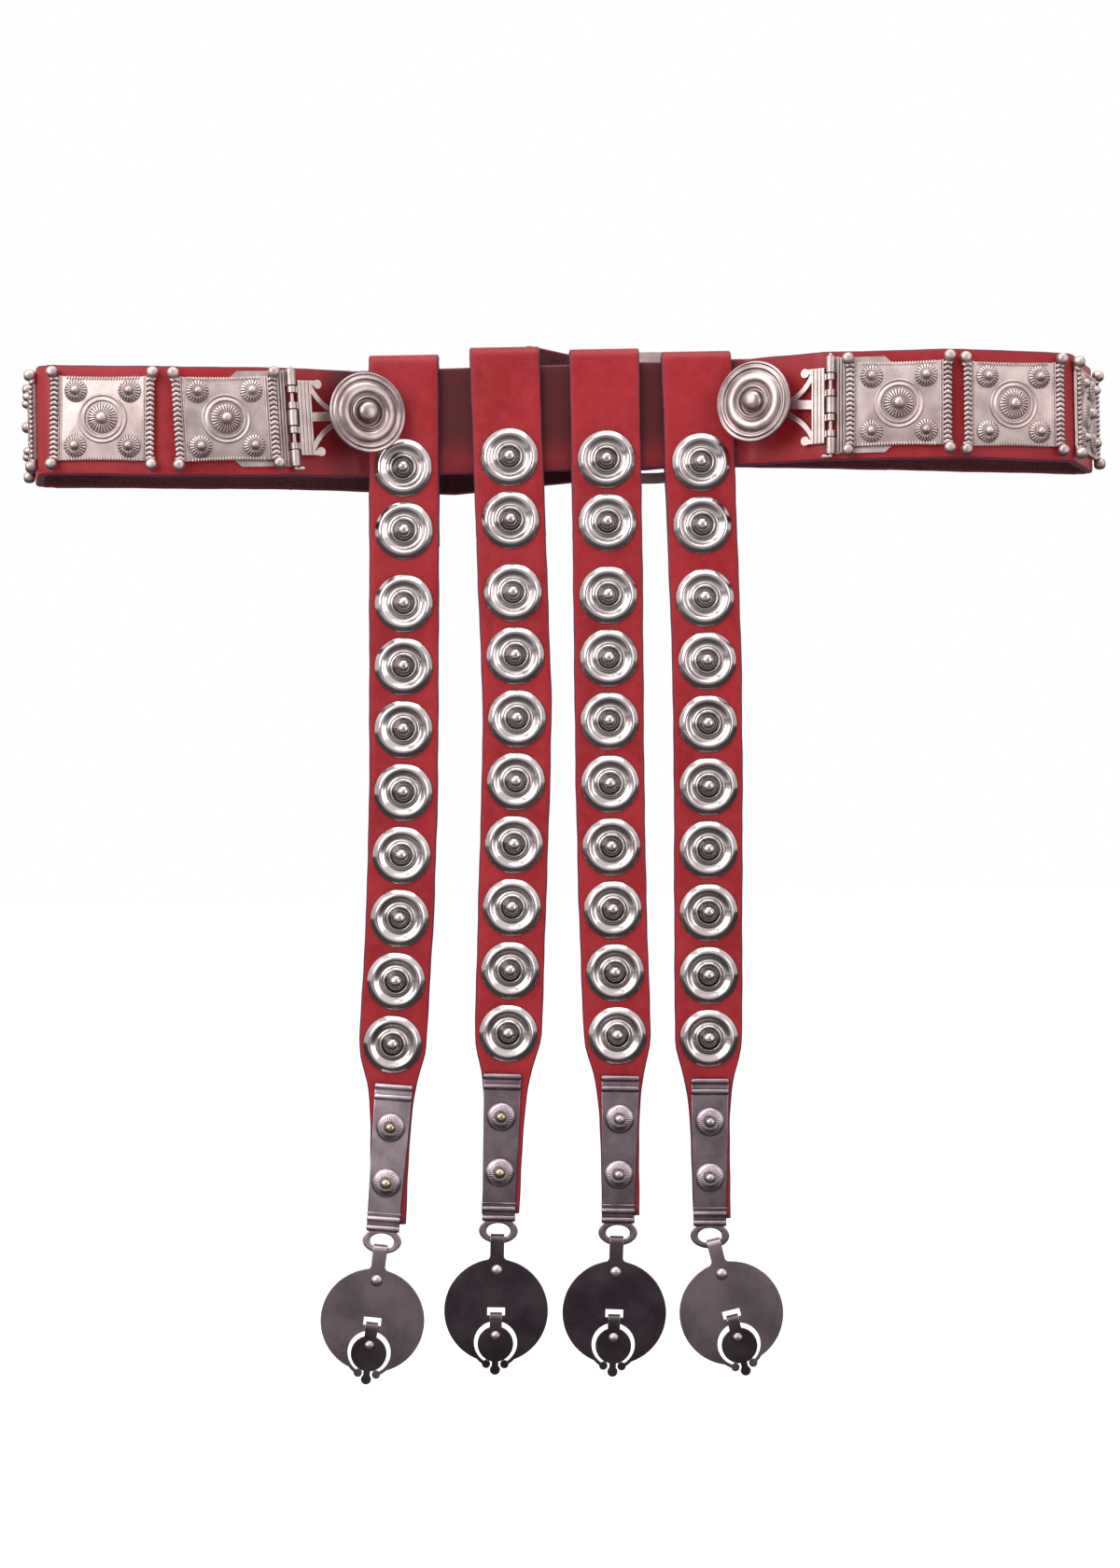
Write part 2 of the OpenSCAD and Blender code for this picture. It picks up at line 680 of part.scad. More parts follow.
// Button: a disc of raised rings with a dome, on a stem riveted through the seat
BUTTON_T = 1.6;
module frog_button(reach, bend) {
    r = button_d / 2;
    z = button_rise;
    b = z - BUTTON_T / 2;
    f = z + BUTTON_T / 2;
    color(CAST_SILVER)
        rotate([0, 0, bend])
            translate([reach, 0, 0]) {
                rotate_extrude()
                    polygon([
                        [0, b], [r - 0.6, b], [r, z], [r - 0.4, f], [r - 1.4, f + 0.4], [r - 2.4, f - 0.3],
                        [0.8 * r, f + 0.2], [0.7 * r, f - 0.3], [0.6 * r, f + 0.5], [0.46 * r, f + 0.4],
                        [0.4 * r, f], [0.36 * r, f + 0.9], [0.31 * r, f + 0.2], [0.24 * r, f],
                        [0.22 * r, f + 1.4], [0.13 * r, f + 3], [0, f + 3.4]
                    ]);
                translate([0, 0, frog_t / 2 + TOUCH])
                    cylinder(h = b - frog_t / 2, d = stem_d);
                translate([0, 0, -frog_t / 2 - TOUCH])
                    cylinder(h = frog_t + 1, d = stem_d * 0.6);
                translate([0, 0, -frog_t / 2 - TOUCH - 0.6])
                    cylinder(h = 0.6, d1 = stem_d * 0.7, d2 = stem_d);
            }
}
module left_frog_plate() { on_left_frog() frog_plate(left_button_x, left_frog_bend); }
module right_frog_plate() { on_right_frog() frog_plate(right_button_x, right_frog_bend); }
module left_frog_button() { on_left_frog() frog_button(left_button_x, left_frog_bend); }
module right_frog_button() { on_right_frog() frog_button(right_button_x, right_frog_bend); }

// Buckle: x and y from the bar's axis, z up from the middle of the belt's end
module on_bar() {
    translate(BAR)
        children();
}
module chape_rivet_place(x, z) {
    on_bar()
        translate([-x, 0, z * CHAPE_RIVET_Z])
            rotate([-90, 0, 0])
                translate([0, 0, belt_t / 2])
                    children();
}
barrel_in = bar_d / 2 + RUN_PLAY;
barrel_out = barrel_in + chape_t;
BARREL_CUT = 1.4;
module chape_profile() {
    for (s = [-1, 1])
        scale([1, s])
            translate([-chape_l, belt_t / 2 + TOUCH])
                square([chape_l - BARREL_CUT + 0.3, chape_t]);
    difference() {
        circle(r = barrel_out);
        circle(r = barrel_in);
        translate([-2 * barrel_out - BARREL_CUT, -2 * barrel_out])
            square([2 * barrel_out, 4 * barrel_out]);
    }
}
module buckle_chape() {
    slot = prong_w + 1;
    color(CAST_SILVER)
        on_bar()
            difference() {
                translate([0, 0, -chape_h / 2])
                    linear_extrude(chape_h)
                        chape_profile();
                translate([-barrel_out - 1, -2 * barrel_out, PRONG_RISE - slot / 2])
                    cube([3 * barrel_out, 4 * barrel_out, slot]);
                for (x = CHAPE_RIVETS, z = [-1, 1])
                    translate([-x, 0, z * CHAPE_RIVET_Z])
                        rotate([-90, 0, 0])
                            shank_hole(-belt_t, belt_t);
            }
}
module chape_rivets() {
    reach = chape_t + 2 * TOUCH;
    color(CAST_SILVER)
        for (x = CHAPE_RIVETS, z = [-1, 1])
            chape_rivet_place(x, z) {
                shank(-belt_t - reach - 0.4, reach + 0.4);
                translate([0, 0, reach])
                    cylinder(h = 0.8, d1 = 5, d2 = 2.6);
                translate([0, 0, -belt_t - reach - 0.8])
                    cylinder(h = 0.8, d1 = 2.6, d2 = 5);
            }
}
module buckle_loop() {
    in_h = loop_h / 2;
    out_h = in_h + frame_w;
    in_end = [for (p = squarish([loop_l - LOOP_STRAIGHT, in_h], LOOP_POWER)) p + [LOOP_STRAIGHT, 0]];
    out_end = [for (p = squarish([loop_l - LOOP_STRAIGHT + frame_w, out_h], LOOP_POWER)) p + [LOOP_STRAIGHT, 0]];
    upper = concat([[-bar_d / 2, in_h], [-bar_d / 2, out_h]], out_end);
    inner = concat([[-bar_d / 2, in_h]], in_end);
    color(CAST_SILVER)
        on_bar()
            translate([0, 0, LOOP_RISE]) {
                rotate([90, 0, 0])
                    linear_extrude(frame_t, center = true)
                        for (s = [-1, 1])
                            scale([1, s])
                                polygon(concat(upper, [for (k = [len(inner) - 1:-1:1]) inner[k]]));
                cylinder(h = loop_h + frame_w, d = bar_d, center = true);
            }
}
module buckle_prong() {
    rest = frame_t / 2 + 0.3;
    inner_end = loop_l - 1;
    outer_end = loop_l + frame_w + 1.4;
    color(CAST_SILVER)
        on_bar()
            translate([0, 0, PRONG_RISE - prong_w / 2])
                linear_extrude(prong_w)
                    difference() {
                        union() {
                            circle(r = barrel_out + 0.1);
                            polygon([
                                [1, -0.6], [inner_end, rest], [outer_end, rest], [outer_end + 0.6, rest + 0.9],
                                [outer_end - 0.4, rest + prong_t * 0.8], [inner_end, rest + prong_t], [1, prong_t - 0.2]
                            ]);
                        }
                        circle(r = bar_d / 2 + RUN_PLAY);
                    }
}

// Stud of concentric rings, standing on z = 0
module stud_head() {
    r = stud_d / 2;
    rotate_extrude()
        polygon([
            [0, TOUCH], [r, TOUCH], [r, 0.7], [r - 1, 1.5], [0.82 * r, 1], [0.7 * r, 2], [0.6 * r, 1.9],
            [0.5 * r, 2.6], [0.4 * r, 1.6], [0.22 * r, 1.6], [0.22 * r, 2.4], [0.15 * r, 4.3], [0, 5]
        ]);
}
module stud(depth) {
    stud_head();
    shank(-depth, 1);
    clench(depth);
}
// Recess that lets the first stud's washer lie inside the leather
sink = washer_t + 0.5 + 3 * TOUCH;
module stud_hole(depth, sunk) {
    shank_hole(-depth - 1, 1);
    if (sunk)
        translate([0, 0, -depth - 1])
            cylinder(h = 1 + sink, d = washer_d + 2 * RIVET_PLAY);
}
lap_depth = 2 * strap_t + TOUCH;

// Loop of a strap: front layer, fold over the belt, back layer riveted under the belt
function loop_line(s) =
    let (
        back = front_y + fold_r,
        lap = strap_mid + strap_t + TOUCH,
        shift = STRAP_SHIFT[s],
        fold_z = FOLD_TOP[s] - fold_r - strap_t / 2
    )
    concat(
        [
            [lap, LAP_END_Z + shift],
            [lap, LAP_TOP_Z + shift],
            [back, LAP_BELT_Z + min(shift, 0)]
        ],
        arc([front_y, fold_z], fold_r, 0, 180, 10),
        [[strap_mid, swing_z + shift + strap_t / 2 + 0.6]]
    );
// Leans a loop about the swing's axis
module loop_place(s) {
    z = swing_z + STRAP_SHIFT[s];
    translate([strap_x(s, z), 0, z])
        rotate([0, LOOP_LEAN[s], 0])
            translate([0, 0, -z])
                children();
}
module loop_leather(s) {
    color(LEATHER)
        difference() {
            loop_place(s)
                translate([-strap_w / 2, 0, 0])
                    rotate([90, 0, 90])
                        linear_extrude(strap_w)
                            polygon(ribbon(loop_line(s), strap_t));
            for (k = [1, 2])
                on_strap(strap_x(s, stud_z(s, k)), stud_z(s, k))
                    stud_hole(k == 1 ? strap_t : lap_depth, k == 1);
        }
}
module loop_studs(s) {
    color(BRIGHT_NICKEL)
        for (k = [1, 2])
            on_strap(strap_x(s, stud_z(s, k)), stud_z(s, k))
                stud(k == 1 ? strap_t - sink : lap_depth);
}

// Hanging strap: full width down to the last stud, then a narrow end under the strap end
function strap_heights(s) = [
    swing_z + STRAP_SHIFT[s],
    for (k = [4:STUDS - 1]) stud_z(s, k),
    for (t = [len(TAPER) - 2:-1:1]) last_stud_z + STRAP_SHIFT[s] + TAPER[t][0],
    leather_end_z + STRAP_SHIFT[s]
];
module strap_leather(s) {
    z = strap_heights(s);
    right = [for (h = z) [strap_x(s, h) + half_w(s, h), h]];
    left = [for (h = z) [strap_x(s, h) - half_w(s, h), h]];
    color(LEATHER)
        difference() {
            union() {
                translate([0, strap_back, 0])
                    rotate([90, 0, 0])
                        linear_extrude(strap_t)
                            polygon(concat(left, [for (k = [len(z) - 1:-1:0]) right[k]]));
                translate([left[0][0], strap_mid, z[0]])
                    rotate([0, 90, 0])
                        cylinder(h = right[0][0] - left[0][0], d = strap_t);
            }
            for (k = [3:STUDS])
                on_strap(strap_x(s, stud_z(s, k)), stud_z(s, k))
                    shank_hole(-strap_t - 1, 1);
            on_end(s)
                end_rivet_places()
                    shank_hole(-strap_t - 1, 1);
        }
}
module strap_studs(s) {
    color(BRIGHT_NICKEL)
        for (k = [3:STUDS])
            on_strap(strap_x(s, stud_z(s, k)), stud_z(s, k))
                stud(strap_t);
}

// Strap end: x and y in the sheet from the middle of its top, z out of the strap
module on_end(s) {
    on_strap(END_X[s], end_z(s))
        rotate([0, 0, END_LEAN[s]])
            children();
}
module end_rivet_places() {
    for (k = [0, 1])
        translate([0, -END_ROSETTE_Y - k * end_rosette_pitch, 0])
            children();
}
module oval(half) {
    polygon([for (a = [0:7.5:352.5]) [half[0] * cos(a), half[1] * sin(a)]]);
}
function end_half_w(y) = end_w / 2 * (1 + (END_TAPER - 1) * y / end_l);
module strap_end(s) {
    color(DARK_NICKEL)
        on_end(s)
            translate([0, 0, TOUCH])
                difference() {
                    union() {
                        linear_extrude(end_t)
                            difference() {
                                union() {
                                    polygon([
                                        [-end_half_w(0), 0], [-end_half_w(end_l), -end_l],
                                        [end_half_w(end_l), -end_l], [end_half_w(0), 0]
                                    ]);
                                    translate([0, ring_y])
                                        oval(RING_OUT);
                                }
                                translate([0, ring_y])
                                    oval(RING_IN);
                            }
                        for (y = END_RIBS)
                            translate([-end_half_w(y), -y, end_t - 0.4])
                                rotate([0, 90, 0])
                                    cylinder(h = 2 * end_half_w(y), r = END_RIB_R);
                    }
                    end_rivet_places()
                        shank_hole(-1, end_t + 1);
                    translate([-end_w, -2 * end_l, -2 * END_RIB_R])
                        cube([2 * end_w, 3 * end_l, 2 * END_RIB_R]);
                }
}
module strap_rosettes(s) {
    lift = end_t + 2 * TOUCH;
    color(DARK_NICKEL)
        on_end(s)
            end_rivet_places() {
                translate([0, 0, lift])
                    rosette(end_rosette_d);
                shank(0, lift + 0.5);
                clench(strap_t);
            }
}

// Pendant: y up from the ring's bar that it hangs on, z out of the bar's middle
function bar_rise(x) = ring_mid[1] * (1 - sqrt(1 - pow(x / ring_mid[0], 2)));
module on_ring(s) {
    on_end(s)
        translate([
            PENDANT_AT[s],
            ring_y - RING_OUT[1] + ring_bar / 2 + 0.2 + bar_rise(PENDANT_AT[s]),
            TOUCH + end_t / 2
        ])
            rotate([0, 0, PENDANT_LEAN[s] - END_LEAN[s]])
                children();
}
// Tab: a fold over the top, then a back leg that comes forward to the sheet and ends at low
module folded_tab(fold, t, w, join, low) {
    r = fold + t / 2;
    line = concat(
        [[r, -0.6]],
        arc([0, 0], r, 0, 180, 10),
        [[-r, -fold * 0.7], [fold - t / 2 - TOUCH, join], [fold - t / 2 - TOUCH, low]]
    );
    translate([-w / 2, 0, 0])
        rotate([0, 90, 0])
            linear_extrude(w)
                polygon(ribbon([for (p = line) [-p[0], p[1]]], t));
}
module pendant_outline() {
    r = window_d / 2;
    window_y = -pendant_drop - window_drop;
    difference() {
        union() {
            translate([0, -pendant_drop])
                circle(d = pendant_d, $fn = 96);
            translate([0, window_y])
                circle(r = r + WINDOW_RIM);
            translate([-tab_w / 2, -pendant_drop])
                square([tab_w, pendant_drop]);
            tab_shoulders();
        }
        translate([0, window_y])
            circle(r = r);
        translate([-HORN[0], window_y - r - 2 * HORN_R])
            square([2 * HORN[0], r + 2 * HORN_R]);
        translate([-SLOT[0] / 2, drop_bar_y + WINDOW_BAR / 2])
            square(SLOT);
    }
    for (x = [-1, 1])
        translate([x * HORN[0], window_y - HORN[1]])
            circle(r = HORN_R);
}
SHOULDER_R = 2;
module tab_shoulders() {
    top = -pendant_drop + pendant_d / 2;
    difference() {
        translate([-tab_w / 2 - SHOULDER_R, top - 1.5])
            square([tab_w + 2 * SHOULDER_R, 1.5 + SHOULDER_R - 0.5]);
        for (x = [-1, 1])
            translate([x * (tab_w / 2 + SHOULDER_R), top + SHOULDER_R - 0.5])
                circle(r = SHOULDER_R);
    }
}
pendant_rivet_y = -pendant_drop + pendant_d / 2 - PENDANT_RIVET;
module pendant(s) {
    color(DARK_NICKEL)
        on_ring(s)
            difference() {
                union() {
                    translate([0, 0, pendant_fold])
                        linear_extrude(pendant_t)
                            pendant_outline();
                    folded_tab(pendant_fold, pendant_t, tab_w, pendant_rivet_y + 2.8, pendant_rivet_y - 3);
                }
                translate([0, pendant_rivet_y, 0])
                    shank_hole(-1, 2 * pendant_fold + 2);
            }
}
module small_rivet(back, front, d) {
    shank(back - TOUCH - 0.3, front + TOUCH + 0.3);
    translate([0, 0, front + TOUCH])
        rotate_extrude()
            polygon([[0, 0], [d / 2, 0], [d / 2, 0.4], [0.36 * d, 1.2], [0.18 * d, 1.6], [0, 1.7]]);
    translate([0, 0, back - TOUCH - 0.6])
        cylinder(h = 0.6, d1 = shank_d, d2 = shank_d + 1.2);
}
module pendant_rivet(s) {
    color(DARK_NICKEL)
        on_ring(s)
            translate([0, pendant_rivet_y, 0])
                small_rivet(pendant_fold - pendant_t - TOUCH, pendant_fold + pendant_t, 5.2);
}

// Drop: y up from the pendant's bar, z out of the bar's middle
module on_window_bar(s) {
    on_ring(s)
        translate([0, drop_bar_y, pendant_fold + pendant_t / 2])
            children();
}
drop_rivet_y = -drop_centre + DROP_RIVET;
module drop(s) {
    color(DARK_NICKEL)
        on_window_bar(s)
            difference() {
                union() {
                    translate([0, 0, drop_fold])
                        linear_extrude(drop_t) {
                            translate([0, -drop_centre])
                                circle(d = drop_d);
                            translate([-drop_tab_w / 2, -drop_centre])
                                square([drop_tab_w, drop_centre]);
                            translate([-NECK_W / 2, -KNOB_DROP])
                                square([NECK_W, KNOB_DROP - drop_centre]);
                            translate([0, -KNOB_DROP])
                                circle(r = KNOB_R);
                        }
                    folded_tab(drop_fold, drop_t, drop_tab_w, drop_rivet_y + 2.2, drop_rivet_y - 2.4);
                }
                translate([0, drop_rivet_y, 0])
                    shank_hole(-1, 2 * drop_fold + 2);
            }
}
module drop_rivet(s) {
    color(DARK_NICKEL)
        on_window_bar(s)
            translate([0, drop_rivet_y, 0])
                small_rivet(drop_fold - drop_t - TOUCH, drop_fold + drop_t, 4.6);
}

belt_leather();
left_side_plate();
left_outer_plate();
left_hinge_plate();
right_hinge_plate();
right_outer_plate();
right_side_plate();
plate_rivets();
left_hinge_leaf();
right_hinge_leaf();
left_hinge_pin();
right_hinge_pin();
left_frog_plate();
right_frog_plate();
left_frog_button();
right_frog_button();
buckle_chape();
chape_rivets();
buckle_loop();
buckle_prong();
// The four straps and what hangs on them
for (s = STRAPS) {
    n = s + 1;
    loop_leather(s);
    loop_studs(s);
    strap_leather(s);
    strap_studs(s);
    strap_end(s);
    strap_rosettes(s);
    pendant(s);
    pendant_rivet(s);
    drop(s);
    drop_rivet(s);
}
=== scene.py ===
"""Looks of a Roman military belt: red leather, cast silvered plates, a studded apron and pendants."""
import math

import bmesh
import bpy
import numpy as np
from mathutils import Matrix, Vector
from mathutils.kdtree import KDTree
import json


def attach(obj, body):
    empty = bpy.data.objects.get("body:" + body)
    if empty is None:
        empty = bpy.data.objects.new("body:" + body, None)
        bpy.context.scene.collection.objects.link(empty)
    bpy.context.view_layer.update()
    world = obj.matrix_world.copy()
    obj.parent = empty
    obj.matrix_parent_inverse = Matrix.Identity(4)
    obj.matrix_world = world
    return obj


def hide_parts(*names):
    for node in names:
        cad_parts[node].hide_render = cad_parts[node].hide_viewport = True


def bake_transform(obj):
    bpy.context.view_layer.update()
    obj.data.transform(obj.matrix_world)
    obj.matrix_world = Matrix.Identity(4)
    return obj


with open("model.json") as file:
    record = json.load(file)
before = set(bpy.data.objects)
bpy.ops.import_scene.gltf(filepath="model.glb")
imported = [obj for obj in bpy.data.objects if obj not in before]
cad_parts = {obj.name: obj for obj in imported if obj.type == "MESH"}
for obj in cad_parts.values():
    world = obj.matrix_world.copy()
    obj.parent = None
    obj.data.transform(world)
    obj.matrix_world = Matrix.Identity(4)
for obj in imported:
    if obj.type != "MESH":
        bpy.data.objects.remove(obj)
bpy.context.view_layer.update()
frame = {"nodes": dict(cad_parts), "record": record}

MM = 0.001
BODY_OF = {node: body for body, nodes in frame["record"]["behaviour"]["bodies"].items() for node in nodes}

# Belt: width, thickness and rounding of the leather's edges
BELT_W = 48.0
BELT_T = 3.6
BELT_EDGE_R = 1.1
# Corners of the belt's middle surface from above: x, y, height of its middle, radius of the bend
ROUTE = [
    (28, 11, -1, 0),
    (-50, 11, -7.5, 80),
    (-125, 12, -3.5, 80),
    (-241, 9, -1, 6),
    (-227, -45, -3, 9),
    (-170, -47, -5, 40),
    (-122, -33, -3.8, 24),
    (-92, -12, -2, 12),
    (86, -12, 0.5, 12),
    (116, -36, -1.6, 14),
    (174, -45, -2.9, 40),
    (224, -37.5, -4.3, 8),
    (245, 9, -3.5, 6),
    (150, 10, 0.5, 80),
    (85, 9, 2.7, 60),
    (54.2, 2.5, 2.3, 14),
    (34.6, 17.1, 3, 14),
    (-18, 17.8, 15, 0),
]
FRONT_Y = -12.0
BUCKLE_RUN = 15
TIP_R = 5.0
# Shares of that radius left at the cross-sections of the belt's tip
TIP_SHARES = (1, 0.8, 0.6, 0.4, 0.25, 0.12, 0.04, 0)
HOLE_R = 2.7
HOLE_PITCH = 25.0
HOLE_ROW_Z = -2.2
PRONG_AT = 16.4
PRONG_SLOT_L = 15.4

# Belt plates: run of the route, distance along it, height over the belt's middle, lean, lift
LEAF_T = 1.0
GAP = 0.05
PLATES = {
    "left_side_plate": (3, 28.2, 0, -2, GAP),
    "left_outer_plate": (4, 27.8, 0.4, -1.6, GAP),
    "left_hinge_plate": (5, 23.5, 0.6, 2.6, LEAF_T + 2 * GAP),
    "right_hinge_plate": (9, 32.8, 0, -1, LEAF_T + 2 * GAP),
    "right_outer_plate": (10, 23.8, 0, -0.3, GAP),
    "right_side_plate": (11, 23.6, 0, 1, GAP),
}
PLATE_L = 44.0
PLATE_T = 1.6
PLATE_EDGE_H = 18.6
PLATE_DIP = 0.7
CORNERS = ((-1, -1), (-1, 1), (1, -1), (1, 1))
ROSETTE_PLACE = (11.8, 12.0)
ROSETTE_R = 4.9
# Border of a plate: corner balls, posts under them, beads of the rope, teeth of the milled edges
BALL_R = 2.6
BALL_Y = 20
POST_Y = 18.4
POST_RISE = 1.4
ROPE_R = 1.35
ROPE_X = PLATE_L / 2 - ROPE_R + 0.4
BEAD_Y = 17.2
BEADS = 17
BEAD_SLANT = 52
BEAD_ASIDE = 0.62
BEAD_RISE = 0.55
MILLING_X = 15.6
TEETH = 27

# Hinge pins: distance from the plate's middle and rise over the belt
PIN_X = 29.6
PIN_RISE = 2.3
# Frogs: turn off the hinge plate towards the belt, upward bend of the arms, reach to the button
FROGS = {"left": (10.0, 2.5, 32.0), "right": (22.0, 5.5, 33.5)}
BUTTON_RISE = 8.5
BUTTON_R = 18.0

# Apron: one value for each strap, and the middle line of each strap as height, x
STRAP_W = 31.5
STRAP_T = 3.0
STRAP_EDGE_R = 0.9
LOOP_GAP = 0.3
STUD_R = 13.15
STUD_PITCH = 28.3
STUDS = 10
STUD_Z = (-20.8, -49.1, -81.8)
FOLD_TOP = (29, 31.8, 30.2, 28.4)
STRAP_SHIFT = (-1.8, 2.2, 0.4, -1.6)
LOOP_LEAN = (0.8, -1.1, 0, -1)
END_X = (-80, -31.2, 21.7, 61.9)
END_LEAN = (-5.4, -2.5, -1.9, -1)
BOW = (
    ((-362, -84.3), (-300, -81), (-280, -80.3), (-225, -76.2), (-170, -73.6), (-110, -72.4), (-50, -71.2)),
    ((-362, -33.4), (-300, -29.8), (-280, -28.4), (-220, -25.6), (-165, -22.9), (-130, -21.7), (-50, -23.3)),
    ((-362, 20.9), (-300, 21.1), (-280, 20.7), (-220, 19.6), (-165, 19.4), (-110, 19.8), (-50, 20.3)),
    ((-362, 61.9), (-300, 61.6), (-280, 61.8), (-220, 62.7), (-165, 63.7), (-110, 64), (-50, 62.8)),
)
TAPER = (
    (-83, 0.534), (-60, 0.546), (-36, 0.58), (-26, 0.63), (-18, 0.71),
    (-12, 0.815), (-6, 0.925), (0, 0.965), (200, 1),
)
# Lap behind the belt: where the leather ends, where it leaves the strap and where it meets the belt
LAP_END_Z = -56.0
LAP_TOP_Z = -43.0
LAP_BELT_Z = -27.0

# Strap end: how far its top and the leather's end hang below the last stud, length, width, thickness,
# narrowing, rosettes, half-round ribs and a thin lip across it, and the oval ring
END_TOP_DROP = 17.7
LEATHER_END_DROP = 81.1
END_L = 66.6
END_W = 16.9
END_T = 1.4
END_TAPER = 0.865
END_ROSETTES = (19.6, 44.6)
END_RIBS = (1.5, 6.1, 61.0, 65.1)
END_RIB_R = 1.45
END_RIB_H = 1.25
END_LIP = 58.4
END_LIP_R = 0.4
RING_OUT = (8.75, 5.75)
RING_IN = (5.35, 3.4)
RING_LAP = 1.5

# Distance between the cross-sections of the leather: belt, lap, strap. What a strap's uneven edge
# counts as one such step
BELT_STEP = 7
LAP_STEP = 5
STRAP_STEP = 4
STRAP_WAVE_STEP = 5
# Degrees between them in the belt's bends, and their number over a strap's fold
BEND_STEP = 5
FOLD_STEPS = 14
# Edge and flesh shares of a cut end
CUT_END = (1.0, 0.5)
# Grain of the leather: sizes of its clouds, mottling, pores and fibres
CLOUD = 38
MOTTLE = 5
PORE = 0.75
FIBRE = 0.7
# Size of the metal's specks
SPECK = 0.9
# Where painted shade darkens the belt under the apron, in metres: middle, inner and outer half width,
# low and high edge, and the depth between its back and its front
PAINTED_SHADE_X = -0.011
PAINTED_SHADE_IN = 0.085
PAINTED_SHADE_OUT = 0.1
PAINTED_SHADE_LOW = -0.022
PAINTED_SHADE_HIGH = -0.006
PAINTED_SHADE_BACK = 0.0
PAINTED_SHADE_FRONT = -0.006

STRAP_BACK = FRONT_Y - BELT_T / 2 - LOOP_GAP
STRAP_MID = STRAP_BACK - STRAP_T / 2
STRAP_FRONT = STRAP_BACK - STRAP_T
SWING_Z = (STUD_Z[1] + STUD_Z[2]) / 2
LAST_STUD_Z = STUD_Z[2] - (STUDS - 3) * STUD_PITCH
END_TOP_Z = LAST_STUD_Z - END_TOP_DROP
LEATHER_END_Z = LAST_STUD_Z - LEATHER_END_DROP


# Route of the belt
def run_a(i):
    return math.atan2(ROUTE[i + 1][1] - ROUTE[i][1], ROUTE[i + 1][0] - ROUTE[i][0])


def run_l(i):
    return math.hypot(ROUTE[i + 1][1] - ROUTE[i][1], ROUTE[i + 1][0] - ROUTE[i][0])


def on_run(i, d):
    t = d / run_l(i)
    return [a + (b - a) * t for a, b in zip(ROUTE[i][:3], ROUTE[i + 1][:3])]


def turn(i):
    a = run_a(i) - run_a(i - 1)
    return (a + math.pi) % (2 * math.pi) - math.pi


def bend_l(i):
    return ROUTE[i][3] * math.tan(abs(turn(i)) / 2)


def belt_stations(step):
    """x, y, height, heading and half width of the belt's cross-sections."""
    last = len(ROUTE) - 2
    stations = []

    def straight(i, start, end):
        count = max(1, round((end - start) / step))
        for k in range(count):
            p = on_run(i, start + (end - start) * k / count)
            stations.append((*p, run_a(i), BELT_W / 2))

    straight(0, 0, run_l(0) - bend_l(1))
    for i in range(1, last + 1):
        a, t, r = run_a(i - 1), turn(i), ROUTE[i][3]
        s = math.copysign(1, t)
        before = on_run(i - 1, run_l(i - 1) - bend_l(i))
        after = on_run(i, bend_l(i))
        centre = (before[0] - s * r * math.sin(a), before[1] + s * r * math.cos(a))
        count = max(3, math.ceil(abs(math.degrees(t)) / BEND_STEP))
        for k in range(count):
            u = k / count
            h = a + t * u
            z = (1 - u) ** 2 * before[2] + 2 * u * (1 - u) * ROUTE[i][2] + u * u * after[2]
            x, y = centre[0] + s * r * math.sin(h), centre[1] - s * r * math.cos(h)
            stations.append((x, y, z, h, BELT_W / 2))
        straight(i, bend_l(i), run_l(i) - (bend_l(i + 1) if i < last else TIP_R))
    for f in TIP_SHARES:
        p = on_run(last, run_l(last) - f * TIP_R)
        stations.append((*p, run_a(last), BELT_W / 2 - TIP_R * (1 - math.sqrt(1 - (1 - f) ** 2))))
    return stations


def strap_x(s, z):
    heights, xs = zip(*BOW[s])
    return float(np.interp(z, heights, xs))


def half_w(s, z):
    depths, shares = zip(*TAPER)
    return STRAP_W / 2 * float(np.interp(z - STRAP_SHIFT[s] - LAST_STUD_Z, depths, shares))


def stud_z(s, k):
    return STRAP_SHIFT[s] + (STUD_Z[k - 1] if k < 3 else STUD_Z[2] - (k - 3) * STUD_PITCH)


# Places, in millimetres
def shifted(x, y, z):
    return Matrix.Translation((x, y, z))


def turned(degrees, axis):
    return Matrix.Rotation(math.radians(degrees), 4, axis)


def on_belt(place, lift=0.0):
    i, d, height, lean = place[:4]
    out = BELT_T / 2 + lift
    run = Matrix.Translation(on_run(i, d)) @ Matrix.Rotation(run_a(i), 4, "Z")
    return run @ turned(90, "X") @ shifted(0, height, out) @ turned(lean, "Z")


def on_strap(x, z, out=0.0):
    return shifted(x, STRAP_FRONT - out, z) @ turned(90, "X")


def on_end(s, out=0.0):
    return on_strap(END_X[s], END_TOP_Z + STRAP_SHIFT[s], out) @ turned(END_LEAN[s], "Z")


def on_frog(side):
    """Place on a frog: x from the pin to the button, y up, z outwards, turned over on the right."""
    place = on_belt(PLATES[side + "_hinge_plate"])
    if side == "right":
        place = place @ Matrix.Scale(-1, 4, (1, 0, 0))
    return place @ shifted(PIN_X, 0, PIN_RISE) @ turned(FROGS[side][0], "Y")


def on_button(side):
    bend, reach = FROGS[side][1:]
    return on_frog(side) @ turned(bend, "Z") @ shifted(reach, 0, BUTTON_RISE)


# Nodes
def add(tree, kind, inputs=None, **settings):
    """A node of that kind with its settings, and its inputs set or linked."""
    node = tree.nodes.new(kind)
    for name, value in settings.items():
        setattr(node, name, value)
    for name, value in (inputs or {}).items():
        if isinstance(value, bpy.types.NodeSocket):
            tree.links.new(value, node.inputs[name])
        else:
            node.inputs[name].default_value = value
    return node


def colour(hex_value):
    """sRGB hex value to linear colour."""
    parts = [int(hex_value[i:i + 2], 16) / 255 for i in (1, 3, 5)]
    return (*[c / 12.92 if c <= 0.04045 else ((c + 0.055) / 1.055) ** 2.4 for c in parts], 1)


